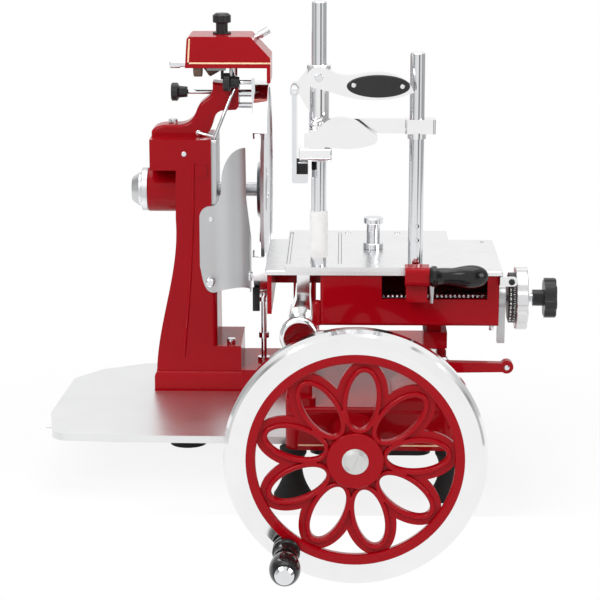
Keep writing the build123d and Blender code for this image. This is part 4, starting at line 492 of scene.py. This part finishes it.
# fasteners
screwHeads = (
    # name, centre in mm, direction, radius, height, body, finish, kind
    ("indexScrew", (289.5, 40.2, 287.0), (0, -1, 0), 4.2, 2.4, "carriage", "black", "hex"),
    ("leverPivotScrew", (33.0, 26.2, 560.0), (0, -1, 0), 5.6, 2.6, "press_handle", "chrome", "line"),
    ("gripScrewLeft", (78.0, 25.3, 550.5), (0, -1, 0), 3.0, 1.2, "press_handle", "chrome", "line"),
    ("gripScrewRight", (141.0, 25.3, 549.0), (0, -1, 0), 3.0, 1.2, "press_handle", "chrome", "line"),
    ("deflectorScrew", (-122.7, 243.2, 330.6), (0, -1, 0), 3.4, 1.8, "machine", "chrome", "line"),
    ("tableScrewMiddle", (72.3, 273.0, 306.3), (0, 0, 1), 4.4, 1.0, "table", "chrome", "hex"),
    ("tableScrewRight", (142.9, 273.0, 306.3), (0, 0, 1), 4.4, 1.0, "table", "chrome", "hex"),
    ("plateScrewBack", (262.0, 240.0, 299.56), (0, 0, 1), 3.0, 1.0, "carriage", "paint", "hex"),
    ("plateScrewFront", (262.0, 60.0, 299.56), (0, 0, 1), 3.0, 1.0, "carriage", "chrome", "hex"),
    ("columnScrewUpper", (-160.0, 245.0, 424.0), (0, -1, 0), 3.6, 2.0, "machine", "chrome", "hex"),
)
for name, centre, along, radius, height, body, finish, kind in screwHeads:
    slotted(name, mm(*centre), along, radius / 1000, height / 1000, body, finish, kind)

screwRings = (
    # name, number, first angle, x and ring radius in mm, radius, height, side, body, kind
    ("bearingCapScrew", 4, 45, -224.8, 26.5, 2.7, 1.6, -1, "machine", "hex"),
    ("bladeScrew", 3, 90, -43.6, 20.0, 3.6, 1.2, 1, "blade_set", "line"),
)
for name, number, first, x, ring, radius, height, side, body, kind in screwRings:
    for count in range(number):
        angle = radians(first + 360 / number * count)
        spot = (x / 1000, bladeAxis[1] + ring / 1000 * cos(angle), bladeAxis[2] + ring / 1000 * sin(angle))
        slotted(name + "_" + str(count), spot, (side, 0, 0), radius / 1000, height / 1000, body, "chrome", kind)

hexBolts = (
    # name, centre in mm, width across its flats, height
    ("armBolt", (-179, 300, 462), 13, 7),
    ("columnFootBolt", (-96, 262, 147.5), 12, 7),
    ("trayArmBolt", (201, 44, 180.5), 10, 5),
)
for name, centre, across, height in hexBolts:
    hexHead(name, mm(*centre), across / 1000, height / 1000)

rods = (
    # name, one end and the other in mm, radius, body
    ("armBoltWasher", (-179, 300, 457.6), (-179, 300, 459.2), 9.5, "machine"),
    ("housingScrew", (265, 60, 224.2), (265, 60, 216.5), 3.4, "carriage"),
    ("clampRodSleeve", (-157.6, 300, 505), (-121.4, 300, 505), 3.1, "turret_clamp"),
    ("guardRodSleeve", (-81.6, 268, 523), (-65.4, 268, 523), 3.1, "guard_clamp"),
    ("tripEyePin", (285, 34.5, 171), (285, 53.5, 171), 3.8, "machine"),
    ("stayRod", (-90, 275, 513), (-119, 262, 441), 2.4, "machine"),
    ("armLever", (-141, 279, 449), (-119, 275, 443.5), 3.2, "machine"),
    ("armLeverPin", (-141, 284, 449), (-141, 276, 449), 4.4, "machine"),
    ("trayPin_0", (-322, 286, 75.6), (-331, 286, 75.6), 2.2, "machine"),
    ("trayPin_1", (-331.5, 122, 75.6), (-340.5, 122, 75.6), 2.2, "machine"),
    ("trayPin_2", (-330.5, 66, 75.6), (-339.5, 66, 75.6), 2.2, "machine"),
    ("pressClip_0", (6, 30, 448), (19, 30, 448), 1.2, "pusher"),
    ("pressClip_1", (6, 82, 448), (19, 82, 448), 1.2, "pusher"),
)
for name, start, end, radius, body in rods:
    bar(name, mm(*start), mm(*end), radius / 1000, body)
print("fasteners set")

# the table's grooves: a dark line down each flank, where the light doesn't reach
grooveLook = {"lefts": (-10.5, 21.5, 58.5), "width": 5.0, "front": 63.5, "back": 274.5, "floor": 304.9,
              "inset": 0.5, "line": 0.9, "thick": 0.3}
for count, left in enumerate(grooveLook["lefts"]):
    for side, shift in (("Left", grooveLook["inset"]), ("Right", grooveLook["width"] - grooveLook["inset"])):
        middle = (left + shift, (grooveLook["front"] + grooveLook["back"]) / 2, grooveLook["floor"])
        line = crate("grooveLine" + side + "_" + str(count), mm(*middle),
                     mm(grooveLook["line"], grooveLook["back"] - grooveLook["front"], grooveLook["thick"]))
        settle(line, "table", "groove", 0)

# the bead down the column's near face, from under the pad to the foot
beadLook = {"points": ((-147.3, 411), (-147.6, 358), (-150.1, 300), (-153.8, 234), (-159.5, 170),
                       (-163.5, 128)),
            "y": 247.2, "radius": 2.6, "sides": 20}
beadPoints = [mm(x, beadLook["y"], z) for x, z in beadLook["points"]]
for count, (start, end) in enumerate(zip(beadPoints, beadPoints[1:])):
    bar("columnBead_" + str(count), start, end, beadLook["radius"] / 1000, "machine", "red", beadLook["sides"])

# holes in the right column, as black plugs sunk in it: their black is painted shade for the dark inside of each
# hole
holeLook = {"x": 163.0, "y": 46.6, "heights": (361.0, 342.0), "radius": 2.8, "depth": 1.6,
            "rim": 0.4, "sunk": 0.6}
for count, height in enumerate(holeLook["heights"]):
    hole = drum("columnHole_" + str(count), mm(holeLook["x"], holeLook["y"], height), (0, -1, 0),
                holeLook["radius"] / 1000, holeLook["depth"] / 1000, 24)
    pickFaces(hole, lambda c, n: n.z > 0.9)
    bpy.ops.mesh.inset(thickness=holeLook["rim"] / 1000, depth=-holeLook["sunk"] / 1000)
    leaveEdit()
    settle(hole, "table", "paint")

# pinstripes
stripeLook = {"proud": 0.00024, "cover": 0.0022, "base": 0.002,
              "coverFace": (mm(-38.6, 256, 551), mm(-153.5, 256, 551), mm(-151.5, 256, 584)),
              "baseFront": (mm(8, -16, 77), mm(198, -16, 77)), "baseRight": (mm(216, 2, 77), mm(216, 396, 77))}


def stripe(name, start, end, width, body):
    # a painted line on an upright face: a thin strip from one point to the next, just proud of the enamel
    start, end = Vector(start), Vector(end)
    run = end - start
    long = run.length + width
    if abs(run.y) > abs(run.x) + abs(run.z):
        strip = crate(name, (start + end) / 2, (stripeLook["proud"], long, width))
    else:
        strip = crate(name, (start + end) / 2, (long, stripeLook["proud"], width), (0, -atan2(run.z, run.x), 0))
    return settle(strip, body, "cream", 0)


for count, (start, end) in enumerate(zip(stripeLook["coverFace"], stripeLook["coverFace"][1:])):
    stripe("coverStripe_" + str(count), start, end, stripeLook["cover"], "sharpener_head")
for side in ("baseFront", "baseRight"):
    stripe(side + "Stripe", *stripeLook[side], stripeLook["base"], "machine")
print("stripes painted")

# knurled fitting at the deflector's edge
fittingLook = {"centre": (-61, 196, 259), "radius": 6.6, "long": 12, "sides": 28, "rim": 0.2, "knurl": 0.5}
fitting = drum("deflectorFitting", mm(*fittingLook["centre"]), (1, 0, 0), fittingLook["radius"] / 1000,
               fittingLook["long"] / 1000, fittingLook["sides"])


def everyOther(c, n):
    # every second face of the fitting's side
    return abs(n.z) < 0.2 and round((atan2(c.y, c.x) + pi) / (2 * pi) * fittingLook["sides"]) % 2 == 0


pickFaces(fitting, everyOther)
bpy.ops.mesh.inset(thickness=fittingLook["rim"] / 1000, depth=-fittingLook["knurl"] / 1000, use_individual=True)
leaveEdit()
settle(fitting, "machine", "chrome")

# dark bracket under it, open at its top
bracketLook = {"centre": (-57, 203, 224), "size": (10, 5, 34), "wall": 1.8, "deep": 26, "edge": 0.8}
bracket = crate("deflectorBracket", mm(*bracketLook["centre"]), mm(*bracketLook["size"]))
pickFaces(bracket, lambda c, n: n.z > 0.9)
bpy.ops.mesh.inset(thickness=bracketLook["wall"] / 1000, depth=0)
bpy.ops.mesh.extrude_region_move(TRANSFORM_OT_translate={"value": mm(0, 0, -bracketLook["deep"])})
leaveEdit()
soften(bracket, bracketLook["edge"] / 1000, 2)
settle(bracket, "machine", "paint")

# spikes of the press plate
spikeLook = {"count": 7, "x": -4.5, "first": 34, "step": 7.2, "z": 440, "radius": 1.3, "long": 6, "tip": 0.1}
for count in range(spikeLook["count"]):
    y = spikeLook["first"] + spikeLook["step"] * count
    spike = drum("pressSpike_" + str(count), mm(spikeLook["x"], y, spikeLook["z"]), (-1, 0, 0),
                 spikeLook["radius"] / 1000, spikeLook["long"] / 1000, 12, spikeLook["tip"] / 1000)
    settle(spike, "pusher", "chrome", 60)

# pawl beside the half nut, narrower at its foot
pawlLook = {"centre": (183, 34, 272), "size": (7, 6, 26), "foot": (0.6, 0.8, 1.0), "edge": 1.5}
pawl = crate("nutPawl", mm(*pawlLook["centre"]), mm(*pawlLook["size"]))
pickFaces(pawl, lambda c, n: n.z < -0.9)
bpy.ops.transform.resize(value=pawlLook["foot"])
leaveEdit()
soften(pawl, pawlLook["edge"] / 1000, 3)
settle(pawl, "half_nut", "grey")
print("fittings added")

# stage, light and camera
stageLook = {"counterFront": -0.075, "counterSide": 2.4, "counterBack": 2.6, "counterDepth": 0.9,
             "floorSide": 6, "floorThick": 0.05, "centre": 0.12, "whiteNear": 0.84, "whiteFar": 1.0,
             "shadowReach": 0.35, "whiteReach": 0.75, "topEdge": 0.0005}


def stageFinish():
    # pale counter that keeps the shadow near the slicer and turns plain white further off
    look = stageLook
    made = Finish("paleStage", (0.93, 0.93, 0.93), 0.0, 0.9)
    spot = made.place(shift=(0, -look["centre"], 0))
    across, back = made.split(spot, 0), made.split(spot, 1)
    reach = (across * across + back * back) ** 0.5
    far = made.add("ShaderNodeMapRange", {"clamp": True},
                   {0: reach, 1: look["shadowReach"], 2: look["whiteReach"], 3: look["whiteNear"],
                    4: look["whiteFar"]})
    below = made.split(made.place(), 2) < -look["topEdge"]
    seen = made.rays("Is Camera Ray").maths("MAXIMUM", made.rays("Is Glossy Ray"))
    plain = Wire(made, made.shader.outputs[0])
    light = made.add("ShaderNodeEmission", {}, {0: (1, 1, 1, 1)})
    mix = made.add("ShaderNodeMixShader", {}, {0: seen * far.maths("MAXIMUM", below), 1: plain, 2: light})
    made.tree.links.new(mix.socket, made.tree.nodes["Material Output"].inputs["Surface"])
    return made.material


shine["stage"] = stageFinish()


def stageBox(name, low, high):
    centre = [(a + b) / 2 for a, b in zip(low, high)]
    piece = crate(name, centre, [b - a for a, b in zip(low, high)])
    dropChoice()
    piece.select_set(True)
    bpy.ops.object.transform_apply(location=True, rotation=True, scale=True)
    piece.data.materials.append(shine["stage"])


stageBox("counter", (-stageLook["counterSide"], stageLook["counterFront"], -stageLook["counterDepth"]),
         (stageLook["counterSide"], stageLook["counterBack"], 0.0))
side = stageLook["floorSide"]
stageBox("floor", (-side, -side, -stageLook["counterDepth"] - stageLook["floorThick"]),
         (side, side, -stageLook["counterDepth"]))

# a white room for the eye, plain light for the object, and dark screens that only polished metal sees
roomLook = {"plain": 0.42, "ceiling": 0.8,
            "screens": ((0.0, 0.75), (0.1, 0.3), (0.19, 0.9), (0.5, 1.0), (0.6, 0.95), (0.67, 0.16),
                        (0.76, 0.2), (0.82, 0.95), (0.93, 0.85), (0.98, 0.3), (1.0, 0.6)),
            "behind": ((0.0, 0.55), (0.12, 0.35), (0.2, 0.95), (0.8, 1.0), (0.9, 0.4), (1.0, 0.5))}
world = bpy.data.worlds.new("studio")
bpy.context.scene.world = world
world.use_nodes = True
room = Bench(world.node_tree)
aim = room.add("ShaderNodeTexCoord")
across, back, up = (room.split(aim, axis) for axis in range(3))
half = across * 0.5 + 0.5
screens = room.add("ShaderNodeMix", {"data_type": "RGBA"},
                   {0: back > 0.0, 6: room.shades(roomLook["screens"], half),
                    7: room.shades(roomLook["behind"], half)}, out=2)
mirrored = screens.maths("MAXIMUM", up > roomLook["ceiling"])
glossy = room.rays("Is Glossy Ray")
level = (1.0 - glossy) * roomLook["plain"] + glossy * mirrored
seen = room.rays("Is Camera Ray").maths("MAXIMUM", level)
sky = room.tree.nodes["Background"]
room.tree.links.new(seen.socket, sky.inputs["Strength"])
sky.inputs["Color"].default_value = (1, 1, 1, 1)

lamps = (
    # name, place and aim in metres, size, power
    ("keyLamp", (-1.6, -1.9, 2.3), (0, 0.1, 0.25), 1.6, 46),
    ("fillLamp", (2.2, -1.5, 1.3), (0, 0.1, 0.25), 1.4, 20),
    ("topLamp", (0.1, 0.4, 2.6), (0, 0.2, 0.2), 2.0, 26),
)
for name, place, aim, size, power in lamps:
    data = bpy.data.lights.new(name, "AREA")
    data.size = size
    data.energy = power
    lamp = bpy.data.objects.new(name, data)
    bpy.context.collection.objects.link(lamp)
    lamp.location = place
    lamp.rotation_euler = (Vector(aim) - Vector(place)).to_track_quat("-Z", "Y").to_euler()

cameraLook = {"place": mm(64.7, -2656, 899), "yaw": 1.2, "drop": 13.3, "lens": 124.8, "sensor": 36}
data = bpy.data.cameras.new("photoView")
data.lens = cameraLook["lens"]
data.sensor_width = cameraLook["sensor"]
camera = bpy.data.objects.new("photoView", data)
bpy.context.collection.objects.link(camera)
camera.location = cameraLook["place"]
camera.rotation_euler = (radians(90 - cameraLook["drop"]), 0, radians(cameraLook["yaw"]))
bpy.context.scene.camera = camera
bpy.context.scene.view_settings.view_transform = "Standard"
print("stage lit")
